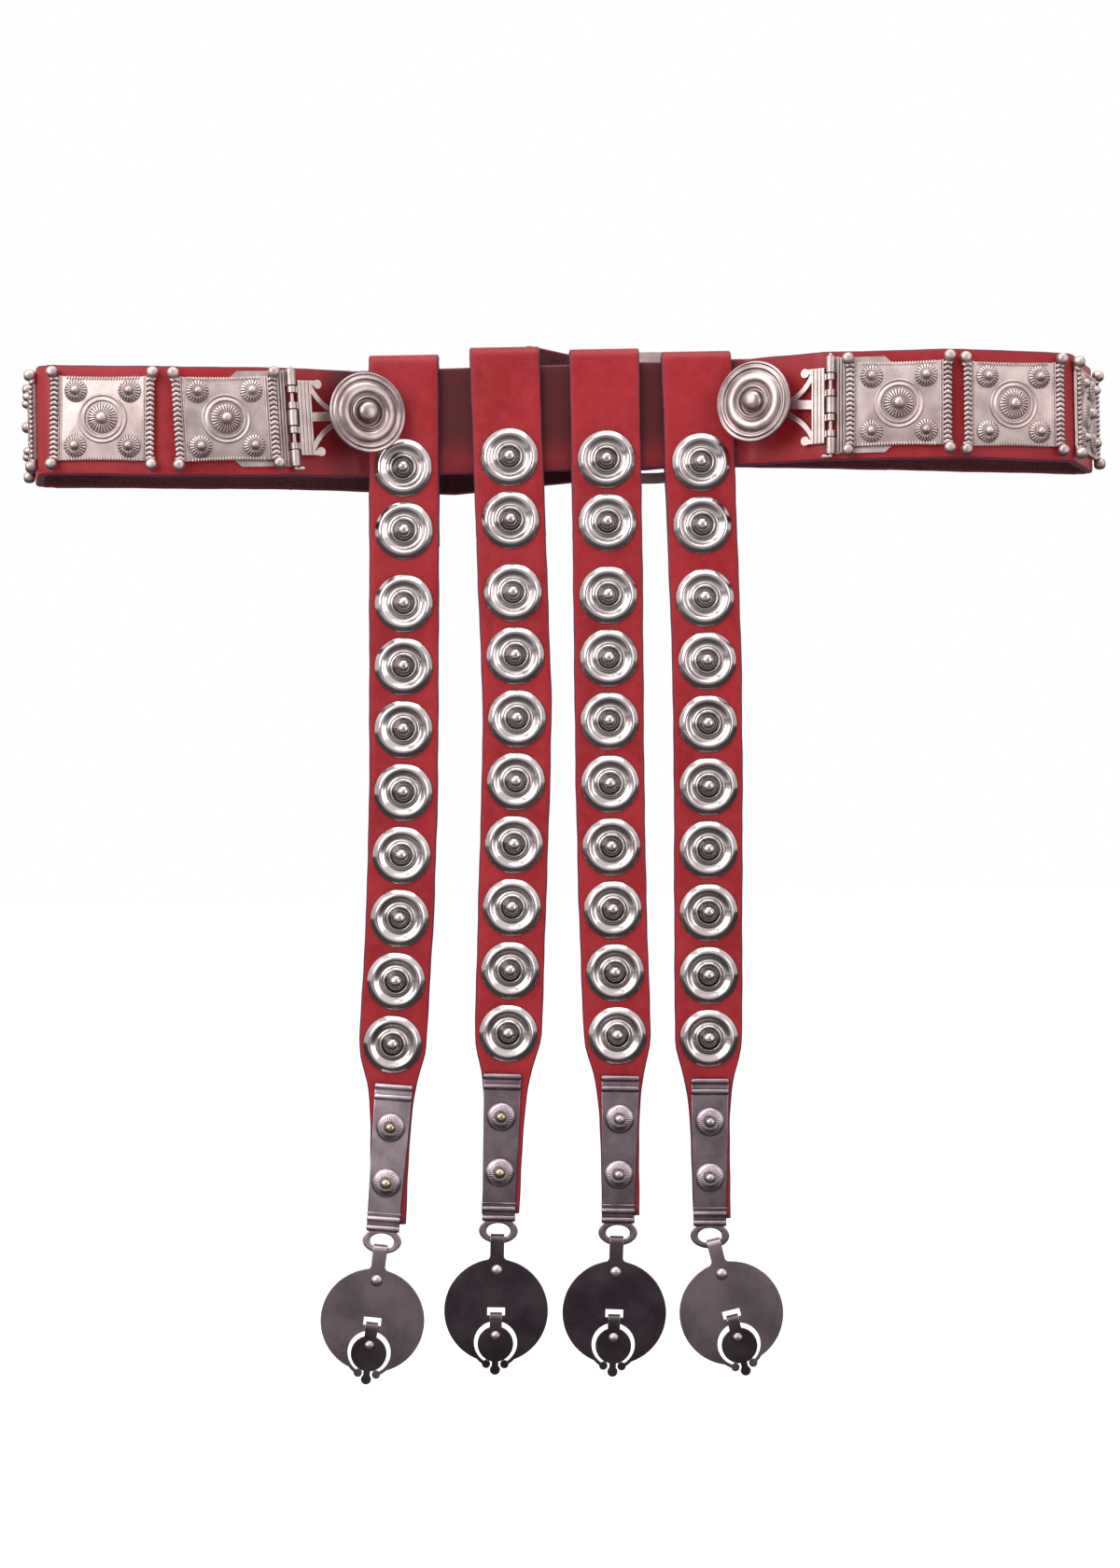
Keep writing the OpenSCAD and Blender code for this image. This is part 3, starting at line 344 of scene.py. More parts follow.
def mix(tree, share, a, b, blend="MIX"):
    return add(tree, "ShaderNodeMix", {0: share, 6: a, 7: b}, data_type="RGBA", blend_type=blend).outputs[2]


def maths(tree, operation, *values):
    return add(tree, "ShaderNodeMath", dict(enumerate(values)), operation=operation).outputs[0]


def ramp(tree, value, low, high):
    """0 below low and 1 above high."""
    inputs = {0: value, 1: low, 2: high}
    return add(tree, "ShaderNodeMapRange", inputs, interpolation_type="SMOOTHSTEP").outputs[0]


def noise(tree, place, size_mm, detail, rough=0.55):
    return add(
        tree, "ShaderNodeTexNoise",
        {"Vector": place, "Scale": 1000 / size_mm, "Detail": detail, "Roughness": rough},
    ).outputs["Fac"]


def emptied(owner):
    """The node tree of a material or world, empty."""
    owner.use_nodes = True
    owner.node_tree.nodes.clear()
    return owner.node_tree


def material(name):
    made = bpy.data.materials.new(name)
    tree = emptied(made)
    shader = add(tree, "ShaderNodeBsdfPrincipled")
    add(tree, "ShaderNodeOutputMaterial", {"Surface": shader.outputs[0]})
    return made, tree, shader, add(tree, "ShaderNodeTexCoord").outputs["Object"]


def dyed_leather(name, painted_shade):
    """Vegetable-tanned cowhide, dyed red on the grain side: satin, fine pores, edges burnished
    to a dark burgundy, and a brown-maroon suede flesh side. The second argument is how strongly painted
    shade darkens the middle of the belt, where the apron keeps the light off."""
    made, tree, shader, place = material(name)
    edge = add(tree, "ShaderNodeAttribute", attribute_name="edge").outputs["Fac"]
    flesh = add(tree, "ShaderNodeAttribute", attribute_name="flesh").outputs["Fac"]
    clouds = noise(tree, place, CLOUD, 4)
    mottle = noise(tree, place, MOTTLE, 4, 0.6)
    cells = add(tree, "ShaderNodeTexVoronoi", {"Vector": place, "Scale": 1000 / PORE}, feature="F1")
    fibres = noise(tree, place, FIBRE, 5, 0.7)
    grain = mix(tree, ramp(tree, clouds, 0.3, 0.7), colour("#8E141C"), colour("#A22026"))
    worn = maths(tree, "MULTIPLY", ramp(tree, mottle, 0.35, 0.75), 0.4)
    grain = mix(tree, worn, grain, colour("#AE2F33"))
    # painted shade under the apron: the red darkened most on the front run's upper half, fading out past the
    # outer straps
    axes = add(tree, "ShaderNodeSeparateXYZ", {0: place}).outputs
    aside = maths(tree, "ABSOLUTE", maths(tree, "SUBTRACT", axes["X"], PAINTED_SHADE_X))
    high = ramp(tree, axes["Z"], PAINTED_SHADE_LOW, PAINTED_SHADE_HIGH)
    depth = maths(tree, "MULTIPLY_ADD", high, 0.4 * painted_shade, 0.6 * painted_shade)
    depth = maths(tree, "MULTIPLY", ramp(tree, aside, PAINTED_SHADE_OUT, PAINTED_SHADE_IN), depth)
    depth = maths(tree, "MULTIPLY", ramp(tree, axes["Y"], PAINTED_SHADE_BACK, PAINTED_SHADE_FRONT), depth)
    # painted shade: a dark red laid over the grain where the apron shades the belt
    grain = mix(tree, depth, grain, colour("#4A090D"))
    suede = mix(tree, ramp(tree, fibres, 0.35, 0.65), colour("#2E1015"), colour("#5A262C"))
    body = mix(tree, flesh, grain, suede)
    rim = mix(tree, fibres, colour("#471426"), colour("#7A2A44"))
    wobble = maths(tree, "MULTIPLY", maths(tree, "SUBTRACT", mottle, 0.5), 0.5)
    rim_share = ramp(tree, maths(tree, "ADD", edge, wobble), 0.3, 0.7)
    base = mix(tree, rim_share, body, rim)
    rough = maths(tree, "MULTIPLY_ADD", mottle, 0.16, 0.34)
    rough = maths(tree, "MULTIPLY_ADD", flesh, 0.5, rough)
    nap = maths(tree, "MULTIPLY", fibres, maths(tree, "MULTIPLY_ADD", flesh, 2.0, 0.35))
    height = maths(tree, "MULTIPLY_ADD", cells.outputs["Distance"], 0.25, nap)
    bump = add(tree, "ShaderNodeBump", {"Height": height, "Strength": 0.5, "Distance": 0.0004})
    for socket, value in (("Base Color", base), ("Roughness", rough), ("Normal", bump.outputs[0])):
        tree.links.new(value, shader.inputs[socket])
    shader.inputs["Sheen Weight"].default_value = 0.05
    shader.inputs["Sheen Roughness"].default_value = 0.5
    shader.inputs["Specular IOR Level"].default_value = 0.3
    return made


def plated_metal(name, tones, rough, reach, clear, cloud, scratch, pit):
    """Plated metal, bright on what stands proud and toned dark in its recesses and beside other pieces:
    partly dirt in the hollows and partly painted shade. tones are bright, middle and dark, reach is how far,
    in millimetres, the dark tone creeps out of the recesses and off nearby pieces, clear how open a spot is
    that keeps none, and cloud the size of its stains. scratch and pit are how strongly it is scratched and
    pitted."""
    bright, mid, dark = tones
    made, tree, shader, place = material(name)
    # painted shade together with dirt: occlusion by the piece itself and by nearby pieces darkens the colour
    open_share = add(
        tree, "ShaderNodeAmbientOcclusion", {"Distance": reach * MM}, samples=6, only_local=False,
    ).outputs["AO"]
    stain = noise(tree, place, cloud, 4, 0.5)
    speck = noise(tree, place, SPECK, 3)
    # brushing up and down: scratches a quarter of a millimetre wide and two millimetres long
    stretch = {"Vector": place, "Rotation": (0.08, 0.1, 0), "Scale": (8, 8, 1)}
    scratches = noise(tree, add(tree, "ShaderNodeMapping", stretch).outputs[0], 2.0, 5, 0.7)
    specks = maths(tree, "MULTIPLY", maths(tree, "SUBTRACT", speck, 0.5), 0.25)
    open_share = maths(tree, "ADD", open_share, specks)
    tone = mix(tree, ramp(tree, stain, 0.3, 0.7), colour(mid), colour(bright))
    rubbed = maths(tree, "MULTIPLY", ramp(tree, scratches, 0.52, 0.72), 0.22 * scratch)
    worn_dark = maths(tree, "MULTIPLY", ramp(tree, scratches, 0.5, 0.3), 0.18 * scratch)
    tone = mix(tree, rubbed, tone, colour(bright), "SCREEN")
    tone = mix(tree, worn_dark, tone, colour(dark))
    # the dark tone where occluded: dirt in the hollows and painted shade near other pieces
    base = mix(tree, ramp(tree, open_share, clear - 0.5, clear), colour(dark), tone)
    gloss = maths(tree, "MULTIPLY_ADD", stain, 0.12, rough - 0.1)
    gloss = maths(tree, "MULTIPLY_ADD", scratches, 0.16 * scratch, gloss)
    height = maths(tree, "MULTIPLY_ADD", scratches, scratch, maths(tree, "MULTIPLY", speck, pit))
    bump = add(tree, "ShaderNodeBump", {"Height": height, "Strength": 0.4, "Distance": 0.00012})
    for socket, value in (("Base Color", base), ("Roughness", gloss), ("Normal", bump.outputs[0])):
        tree.links.new(value, shader.inputs[socket])
    shader.inputs["Metallic"].default_value = 1
    return made


LEATHER = dyed_leather("dyed vegetable-tanned leather", 0.0)
# The belt's leather, with painted shade where the apron shades it
BELT_LEATHER = dyed_leather("dyed vegetable-tanned leather of the belt", 1.0)
# Silvered casting, tumbled: raised parts rubbed bright, recesses left with their grey-brown tone, which also
# paints shade in them and beside other pieces
CAST = plated_metal(
    "silvered cast brass", ("#D0BEBA", "#B6A4A1", "#2E2423"),
    rough=0.46, reach=1.0, clear=0.8, cloud=8, scratch=0.4, pit=1.6,
)
# The same casting turned and handled more, so greyer
TURNED = plated_metal(
    "turned silvered brass", ("#B9A9A7", "#998987", "#2A2221"),
    rough=0.34, reach=1.0, clear=0.8, cloud=8, scratch=0.4, pit=1.2,
)
# Bright nickel plate over pressed sheet: nearly a mirror
NICKEL = plated_metal(
    "bright nickel plate", ("#D2C8C7", "#BDB2B1", "#1F191B"),
    rough=0.17, reach=1.8, clear=0.8, cloud=25, scratch=0.2, pit=0.1,
)
# Nickel plate gone dull, brushed by wear
DULL = plated_metal(
    "dulled nickel plate", ("#CBB9BF", "#A6949C", "#17121A"),
    rough=0.27, reach=1.0, clear=0.84, cloud=10, scratch=1.2, pit=0.6,
)
# The same plate, tarnished
TARNISHED = plated_metal(
    "tarnished nickel plate", ("#9E8B92", "#82727A", "#17121A"),
    rough=0.27, reach=1.0, clear=0.84, cloud=10, scratch=1.2, pit=0.6,
)
# Blackened nickel plate, with a satin sheen and fine scratches
DARK = plated_metal(
    "blackened nickel plate", ("#62555D", "#4B3F47", "#110E0F"),
    rough=0.26, reach=0.8, clear=0.8, cloud=14, scratch=0.9, pit=0.5,
)
# The same plate with its black mostly rubbed off
PALE_DARK = plated_metal(
    "rubbed blackened nickel plate", ("#A8959B", "#867679", "#151112"),
    rough=0.26, reach=0.8, clear=0.8, cloud=22, scratch=0.8, pit=0.3,
)
# Painted warm highlight: brass colour on the domes over two rosettes, standing in for a warm reflection
PAINTED_WARM_HIGHLIGHT = plated_metal(
    "worn brass", ("#D2BCA0", "#AE9676", "#2C201A"),
    rough=0.22, reach=0.6, clear=0.6, cloud=5, scratch=0.2, pit=0.1,
)


# Meshes: a form is its points in millimetres and its faces
# Flutes: points of each, how fast they fade in at the rims of their zone, and how narrow they are
PER_FLUTE = 8
FLUTE_FADE = 3
FLUTE_POWER = 2.5
# Rounded end of a bar: share of its radius, and how far on along the bar, in radii
ROUND_END = ((1, 0), (0.87, 0.5), (0.5, 0.87), (0.05, 1))


def lathe(profile, count):
    """A profile of r, z from the axis outwards and back, turned about z."""
    angles = [2 * math.pi * k / count for k in range(count)]
    points, faces = [], []
    rings = []
    for r, z in profile:
        if r < 1e-6:
            rings.append([len(points)])
            points.append((0, 0, z))
        else:
            rings.append(list(range(len(points), len(points) + count)))
            points += [(r * math.cos(a), r * math.sin(a), z) for a in angles]
    for a, b in zip(rings, rings[1:]):
        for k in range(count):
            quad = [a[k % len(a)], a[(k + 1) % len(a)], b[(k + 1) % len(b)], b[k % len(b)]]
            faces.append(list(dict.fromkeys(quad)))
    return points, faces


def rounded(profile, steps):
    """The profile with its inner corners rounded by cutting them steps times."""
    line = [np.array(p, float) for p in profile]
    for _ in range(steps):
        new = [line[0]]
        for a, b in zip(line, line[1:]):
            new += [a * 0.75 + b * 0.25, a * 0.25 + b * 0.75]
        line = [*new, line[-1]]
    return [tuple(p) for p in line]


def fluted(profile, flutes, inner, outer, depth):
    """A lathe form whose zone between the radii inner and outer is cut by narrow flutes."""
    points, faces = lathe(profile, flutes * PER_FLUTE)
    cut = []
    for x, y, z in points:
        r = math.hypot(x, y)
        share = max(0.0, min(1.0, (r - inner) * FLUTE_FADE, (outer - r) * FLUTE_FADE))
        petal = abs(math.sin(flutes * math.atan2(y, x) / 2))
        cut.append((x, y, z - depth * share * (1 - petal) ** FLUTE_POWER))
    return cut, faces


def moved(form, place):
    return [tuple(place @ Vector(p)) for p in form[0]], form[1]


def joined(*forms):
    points, faces = [], []
    for form_points, form_faces in forms:
        faces += [[i + len(points) for i in f] for f in form_faces]
        points += form_points
    return points, faces


def sweep(rings):
    """Skin over closed rings of points, with both ends closed."""
    m = len(rings[0])
    points = [tuple(p) for ring in rings for p in ring]
    faces = [
        [i * m + k, i * m + (k + 1) % m, (i + 1) * m + (k + 1) % m, (i + 1) * m + k]
        for i in range(len(rings) - 1) for k in range(m)
    ]
    faces.append(list(range(m))[::-1])
    faces.append([len(points) - m + k for k in range(m)])
    return points, faces


def tube(path, radius, count=12):
    """A round bar along a path, with rounded ends."""
    path = [Vector(p) for p in path]
    rings = []
    side = None
    for i, p in enumerate(path):
        ahead = (path[min(i + 1, len(path) - 1)] - path[max(i - 1, 0)]).normalized()
        side = (side or ahead.orthogonal()) - ahead * ahead.dot(side or ahead.orthogonal())
        side.normalize()
        up = ahead.cross(side)
        ends = [(1, 0)]
        if i == 0:
            ends = [(share, -off) for share, off in reversed(ROUND_END)]
        if i == len(path) - 1:
            ends = ROUND_END
        for share, off in ends:
            rings.append([
                p + ahead * off * radius + (side * math.cos(a) + up * math.sin(a)) * radius * share
                for a in (2 * math.pi * k / count for k in range(count))
            ])
    return sweep(rings)


def linked(name, data):
    obj = bpy.data.objects.new(name, data)
    bpy.context.collection.objects.link(obj)
    return obj


def build(name, form, finish, smooth=40):
    """An object of a form, in metres, smooth where its faces meet at less than that angle."""
    mesh = bpy.data.meshes.new(name)
    points, faces = form
    mesh.from_pydata([[c * MM for c in p] for p in points], [], faces)
    work = bmesh.new()
    work.from_mesh(mesh)
    bmesh.ops.remove_doubles(work, verts=work.verts, dist=1e-6)
    bmesh.ops.recalc_face_normals(work, faces=work.faces)
    for edge in work.edges:
        edge.smooth = len(edge.link_faces) == 2 and edge.calc_face_angle(0) < math.radians(smooth)
    for face in work.faces:
        face.smooth = True
    work.to_mesh(mesh)
    work.free()
    mesh.materials.append(finish)
    return linked(name, mesh)


def plain(obj):
    """The evaluated object as a new one of the same name with a plain mesh. The old one goes."""
    bpy.context.view_layer.update()
    graph = bpy.context.evaluated_depsgraph_get()
    seen = obj.evaluated_get(graph)
    mesh = bpy.data.meshes.new_from_object(seen, preserve_all_data_layers=True, depsgraph=graph)
    name = obj.name
    bpy.data.objects.remove(obj, do_unlink=True)
    mesh.name = name
    return linked(name, mesh)


def form_of(mesh):
    """The form of a mesh in metres."""
    return [[c * 1000 for c in v.co] for v in mesh.vertices], [list(f.vertices) for f in mesh.polygons]


def setting_out():
    """Geometry Nodes that set one item on every point, turned as the point's turn says."""
    tree = bpy.data.node_groups.new("set out on points", "GeometryNodeTree")
    for name, kind in (("Points", "Geometry"), ("Item", "Object"), ("Finish", "Material"), ("Size", "Float")):
        tree.interface.new_socket(name, in_out="INPUT", socket_type="NodeSocket" + kind)
    tree.interface.new_socket("Pieces", in_out="OUTPUT", socket_type="NodeSocketGeometry")
    given = add(tree, "NodeGroupInput").outputs
    item = add(tree, "GeometryNodeObjectInfo", {"Object": given["Item"]})
    facing = add(tree, "GeometryNodeInputNamedAttribute", {"Name": "turn"}, data_type="FLOAT_VECTOR")
    rotation = add(tree, "FunctionNodeEulerToRotation", {"Euler": facing.outputs[0]})
    size = add(tree, "ShaderNodeCombineXYZ", {"X": given["Size"], "Y": given["Size"], "Z": given["Size"]})
    pieces = add(tree, "GeometryNodeInstanceOnPoints", {
        "Points": given["Points"], "Instance": item.outputs["Geometry"],
        "Rotation": rotation.outputs[0], "Scale": size.outputs[0],
    })
    real = add(tree, "GeometryNodeRealizeInstances", {"Geometry": pieces.outputs[0]})
    done = add(tree, "GeometryNodeSetMaterial", {"Geometry": real.outputs[0], "Material": given["Finish"]})
    add(tree, "NodeGroupOutput", {"Pieces": done.outputs[0]})
    return tree


SETTING_OUT = setting_out()


def set_out(name, form, places, finish):
    """One object of a form at every place."""
    item = build(name + "_item", form, finish)
    mesh = bpy.data.meshes.new(name + "_points")
    mesh.from_pydata([[c * MM for c in place.translation] for place in places], [], [])
    turns = mesh.attributes.new("turn", "FLOAT_VECTOR", "POINT")
    turns.data.foreach_set("vector", [c for place in places for c in place.to_euler()])
    obj = linked(name, mesh)
    made = obj.modifiers.new("set out", "NODES")
    made.node_group = SETTING_OUT
    values = {"Item": item, "Finish": finish, "Size": 1.0}
    for socket in SETTING_OUT.interface.items_tree:
        if socket.in_out == "INPUT" and socket.name in values:
            made[socket.identifier] = values[socket.name]
    new = plain(obj)
    bpy.data.objects.remove(item, do_unlink=True)
    return new


def sheet(name, outlines, place, thickness, bevel):
    """Form of a flat sheet cut to outlines, the first outside and the others holes, edges eased."""
    curve = bpy.data.curves.new(name, "CURVE")
    curve.dimensions = "2D"
    curve.fill_mode = "BOTH"
    curve.extrude = (thickness / 2 - bevel) * MM
    curve.bevel_depth = bevel * MM
    curve.bevel_resolution = 2
    curve.offset = -bevel * MM
    for outline in outlines:
        spline = curve.splines.new("POLY")
        spline.points.add(len(outline) - 1)
        spline.use_cyclic_u = True
        for point, (x, y) in zip(spline.points, outline):
            point.co = (x * MM, y * MM, 0, 1)
    cut = plain(linked(name, curve))
    form = form_of(cut.data)
    bpy.data.objects.remove(cut, do_unlink=True)
    return moved(form, place @ shifted(0, 0, thickness / 2))


def on(obj, body, *nodes):
    """The piece rides on a body and stands for CAD nodes."""
    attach(obj, body)
    if nodes:
        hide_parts(*nodes)
    return obj


# Leather
def hide_section(half_thick, half_wide, edge_r):
    """Cross-section of a strip of leather: out of its grain side, up, edge share, flesh share."""
    thick, wide = half_thick - edge_r, half_wide - edge_r
    steps = [wide * k / 6 for k in range(-5, 6)]

    def corner(grain, up, angles):
        rows = []
        for a in angles:
            out = grain * (thick + edge_r * math.cos(math.radians(a)))
            high = up * (wide + edge_r * math.sin(math.radians(a)))
            edge = min(1, a / 60 + (0.25 if grain > 0 else 0))
            rows.append((out, high, edge, 0 if grain > 0 else 1 - a / 90))
        return rows

    there, back = (0, 30, 60, 90), (90, 60, 30, 0)
    return [
        *[(half_thick, -y, 0, 0) for y in steps], *corner(1, -1, there), *corner(-1, -1, back),
        *[(-half_thick, y, 0, 1) for y in steps], *corner(-1, 1, there), *corner(1, 1, back),
    ]


def hide(name, rings, shares, finish):
    """A leather piece from its rings, with what the leather's colour needs to know of each point."""
    obj = build(name, sweep(rings), finish, smooth=60)
    places = [Vector(p) * MM for ring in rings for p in ring]
    cut = [CUT_END] * len(rings[0])
    values = [share for row in (cut, *shares[1:-1], cut) for share in row]
    near = KDTree(len(places))
    for index, place in enumerate(places):
        near.insert(place, index)
    near.balance()
    nearest = [near.find(v.co)[1] for v in obj.data.vertices]
    for index, key in enumerate(("edge", "flesh")):
        layer = obj.data.attributes.new(key, "FLOAT", "POINT")
        layer.data.foreach_set("value", [values[n][index] for n in nearest])
    return obj


def waver(s, seed):
    """Slow unevenness of a hand-cut edge, in millimetres."""
    return 0.08 * math.sin(s * 0.11 + seed) + 0.06 * math.sin(s * 0.29 + 2 * seed)


def belt_holes():
    """What cuts the belt: the long hole that the prong goes through, and the plain holes beside it."""
    low, high = -BELT_T - 2, 2
    slot = (PRONG_SLOT_L - 2 * HOLE_R) / 2
    outline = []
    for s, start in ((1, -math.pi / 2), (-1, math.pi / 2)):
        for k in range(11):
            a = start + math.pi * k / 10
            outline.append((s * slot + HOLE_R * math.cos(a), HOLE_R * math.sin(a)))
    long_hole = sweep([[(x, y, z) for x, y in outline] for z in (low, high)])
    hole = lathe([(0, low), (HOLE_R, low), (HOLE_R, high), (0, high)], 24)
    before, after = BUCKLE_RUN - 1, BUCKLE_RUN + 1
    places = [(before, run_l(before) - k * HOLE_PITCH + PRONG_AT) for k in (1, 2, 3)]
    places.append((after, HOLE_PITCH + PRONG_AT - run_l(BUCKLE_RUN)))
    return joined(
        moved(long_hole, on_belt((BUCKLE_RUN, PRONG_AT, HOLE_ROW_Z, 0))),
        *[moved(hole, on_belt((run, d, HOLE_ROW_Z, 0))) for run, d in places],
    )


def belt():
    rings, shares = [], []
    for index, (x, y, z, heading, half) in enumerate(belt_stations(BELT_STEP)):
        out = (math.sin(heading), -math.cos(heading))
        ring, row = [], []
        for off, h, edge, flesh in hide_section(BELT_T / 2, half, BELT_EDGE_R):
            wave = waver(index * BELT_STEP, 1.3 if h > 0 else 4.1) * (abs(h) / half) ** 4
            ring.append((x + out[0] * off, y + out[1] * off, z + h + wave))
            row.append((edge, flesh))
        rings.append(ring)
        shares.append(row)
    obj = hide("belt_hide", rings, shares, BELT_LEATHER)
    punch = build("punch", belt_holes(), BELT_LEATHER)
    cut = obj.modifiers.new("holes", "BOOLEAN")
    cut.object = punch
    cut.operation = "DIFFERENCE"
    cut.solver = "EXACT"
    obj = plain(obj)
    bpy.data.objects.remove(punch, do_unlink=True)
    on(obj, "belt", "belt_leather")


def strap_course(s):
    """Course of a strap's middle, as y and z: up behind the belt, over it and down in front."""
    shift = STRAP_SHIFT[s]
    fold_r = (BELT_T + STRAP_T) / 2 + LOOP_GAP
    fold_z = FOLD_TOP[s] - fold_r - STRAP_T / 2
    back = FRONT_Y + fold_r
    lap = STRAP_MID + STRAP_T + GAP
    corners = [
        (lap, LAP_END_Z + shift), (lap, LAP_TOP_Z + shift),
        (back, LAP_BELT_Z + min(shift, 0)), (back, fold_z),
    ]
    course = []
    for (y0, z0), (y1, z1) in zip(corners, corners[1:]):
        count = max(1, round(math.hypot(y1 - y0, z1 - z0) / LAP_STEP))
        course += [(y0 + (y1 - y0) * k / count, z0 + (z1 - z0) * k / count) for k in range(count)]
    for k in range(FOLD_STEPS + 1):
        a = math.pi * k / FOLD_STEPS
        course.append((FRONT_Y + fold_r * math.cos(a), fold_z + fold_r * math.sin(a)))
    drop = fold_z - LEATHER_END_Z - shift
    count = round(drop / STRAP_STEP)
    return course + [(STRAP_MID, fold_z - drop * k / count) for k in range(1, count + 1)]


def strap(s):
    """Loop and hanging strap in one strip of leather: straight at the loop's lean above a point below the
    second stud, along the strap's bow below it.
    """
    course = strap_course(s)
    pivot = SWING_Z + STRAP_SHIFT[s]
    lean = math.radians(LOOP_LEAN[s])
    rings, shares = [], []
    for i, (y, z) in enumerate(course):
        y0, z0 = course[max(i - 1, 0)]
        y1, z1 = course[min(i + 1, len(course) - 1)]
        length = math.hypot(y1 - y0, z1 - z0)
        # out of the grain side: to the back going up, up over the fold, to the front coming down
        out = ((z1 - z0) / length, -(y1 - y0) / length)
        middle = strap_x(s, pivot) + (z - pivot) * math.sin(lean) if z > pivot else strap_x(s, z)
        half = STRAP_W / 2 if z > pivot else half_w(s, z)
        ring, row = [], []
        for off, h, edge, flesh in hide_section(STRAP_T / 2, half, STRAP_EDGE_R):
            wave = waver(i * STRAP_WAVE_STEP, s + (0.7 if h > 0 else 3.9)) * (abs(h) / half) ** 4
            ring.append((middle + h + wave, y + out[0] * off, z + out[1] * off))
            row.append((edge, flesh))
        rings.append(ring)
        shares.append(row)
    n = s + 1
    obj = hide(f"strap_{n}_hide", rings, shares, LEATHER)
    x, y = strap_x(s, pivot) * MM, STRAP_MID * MM
    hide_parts(f"loop_{n}_leather", f"strap_{n}_leather")
    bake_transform(obj)


# Studs and rivets: profiles as radius and height over what carries them
STUD_PROFILE = rounded([
    (0, 0.05), (STUD_R - 0.3, 0.05), (STUD_R, 0.35), (12.9, 0.75), (12.1, 1.4), (11.2, 2.1), (10.5, 2.45),
    (9.9, 2.4), (9.1, 1.9), (8.2, 1.3), (7.5, 0.95), (7.0, 0.95), (6.5, 1.3), (5.9, 1.95), (5.5, 2.25),
    (5.2, 2.25), (4.85, 1.85), (4.5, 1.2), (4.0, 0.8), (3.4, 0.8), (3.25, 1.5), (3.2, 2.4), (2.75, 3.6),
    (1.9, 4.5), (0.8, 5.0), (0, 5.05),
], 2)
WASHER_R = 3.3
WASHER_T = 0.7
SHANK_R = 1.3
CLENCH_H = 0.5


def clench(depth):
    """Washer and clenched end behind leather of that depth."""
    back = -depth - GAP - WASHER_T
    washer = [(0, back), (WASHER_R, back), (WASHER_R, back + WASHER_T), (0, back + WASHER_T)]
    end = [
        (0, back - CLENCH_H - GAP), (SHANK_R + 0.5, back - CLENCH_H),
        (SHANK_R + 0.6, back - GAP), (0, back - GAP),
    ]
    return joined(lathe(rounded(washer, 1), 24), lathe(rounded(end, 1), 16))


def flanged_rosette():
    """Rosette head of a strap end: a smooth flange round a fluted swelling and a dome."""
    profile = rounded([
        (0, 0), (6.5, 0), (6.5, 0.4), (6.1, 1.1), (5.4, 1.6), (5.0, 1.75), (4.2, 2.2), (3.3, 2.55),
        (2.6, 2.6), (2.3, 2.3), (2.15, 2.8), (1.9, 3.3), (1.4, 3.7), (0.8, 3.94), (0.3, 4), (0, 4),
    ], 1)
    return fluted(profile, flutes=30, inner=2.4, outer=5.1, depth=0.42)


def plate_rosette():
    """Rosette head of a belt plate, fluted up to its edge, with a dome."""
    shares = (
        (0, 0), (1, 0), (1, 0.45), (0.93, 0.75), (0.84, 1.0), (0.7, 1.45), (0.56, 1.65), (0.47, 1.5),
        (0.43, 1.8), (0.41, 2.3), (0.33, 3.2), (0.18, 3.88), (0, 4.0),
    )
    profile = rounded([(share * ROSETTE_R, height) for share, height in shares], 1)
    return fluted(profile, flutes=20, inner=0.46 * ROSETTE_R, outer=0.99 * ROSETTE_R, depth=0.6)


def studs(s):
    """Two studs on the loop, the first with its washer inside the lap and the second through it, and
    the rest on the strap."""
    n = s + 1
    for body, first, last in ((f"loop_{n}", 1, 2), (f"strap_{n}", 3, STUDS)):
        node = body + "_studs"
        numbers = range(first, last + 1)
        places = [on_strap(strap_x(s, stud_z(s, k)), stud_z(s, k)) for k in numbers]
        heads = set_out(node + "_heads", lathe(STUD_PROFILE, 72), places, NICKEL)
        on(heads, body, node)
        depths = [STRAP_T if k != 2 else 2 * STRAP_T + GAP for k in numbers]
        backs = [moved(clench(d), place) for d, place, k in zip(depths, places, numbers) if k != 1]
        on(build(node + "_washers", joined(*backs), NICKEL), body)


# Belt plates: profiles over the slab, then those of balls, rope beads, milling teeth and corner posts
PLATE_RING = rounded([
    (10.9, -0.2), (10.75, 0.45), (10.2, 0.75), (9.7, 0.4), (9.3, 0.2), (8.9, 0.4), (8.3, 0.85), (7.6, 0.6),
    (7.3, -0.2),
], 2)
PLATE_BOSS = rounded([
    (0, 0), (6.5, 0), (6.5, 0.5), (5.9, 0.95), (4.6, 1.5), (3.2, 1.75), (2.7, 1.6), (2.5, 2.0), (2.45, 2.8),
    (2.0, 3.7), (1.1, 4.3), (0, 4.4),
], 1)
BALL = rounded([(0, -BALL_R), (1.6, -2.5), (BALL_R, -1.2), (BALL_R, 1.2), (1.6, 2.5), (0, BALL_R)], 2)
BEAD = rounded([(0, -1.55), (0.75, -1.3), (1.0, 0), (0.75, 1.3), (0, 1.55)], 1)
TOOTH = rounded([(0, -0.75), (0.42, -0.7), (0.42, 0.7), (0, 0.75)], 1)
POST = [(0, -1.6), (1.5, -1.6), (1.5, 1.6), (0, 1.6)]
# Bars of the border: distance from the middle, height, radius, half length. The last is the rope's core
BARS = (
    (ROPE_X - 1.9, PLATE_T + 0.05, 0.42, 18.3),
    (ROPE_X - 3.0, PLATE_T, 0.36, 18.2),
    (ROPE_X, 0.75 * PLATE_T, 0.8 * ROPE_R, 18.6),
)


def plate_edge(x):
    """Height of a plate's hollowed edge."""
    return PLATE_EDGE_H - PLATE_DIP * (1 - (x / (PLATE_L / 2)) ** 2)


def plate_corners(place, lift):
    """Places of the four rosettes of a plate."""
    x, y = ROSETTE_PLACE
    return [on_belt(place, lift) @ shifted(a * x, b * y, 0) for a, b in CORNERS]


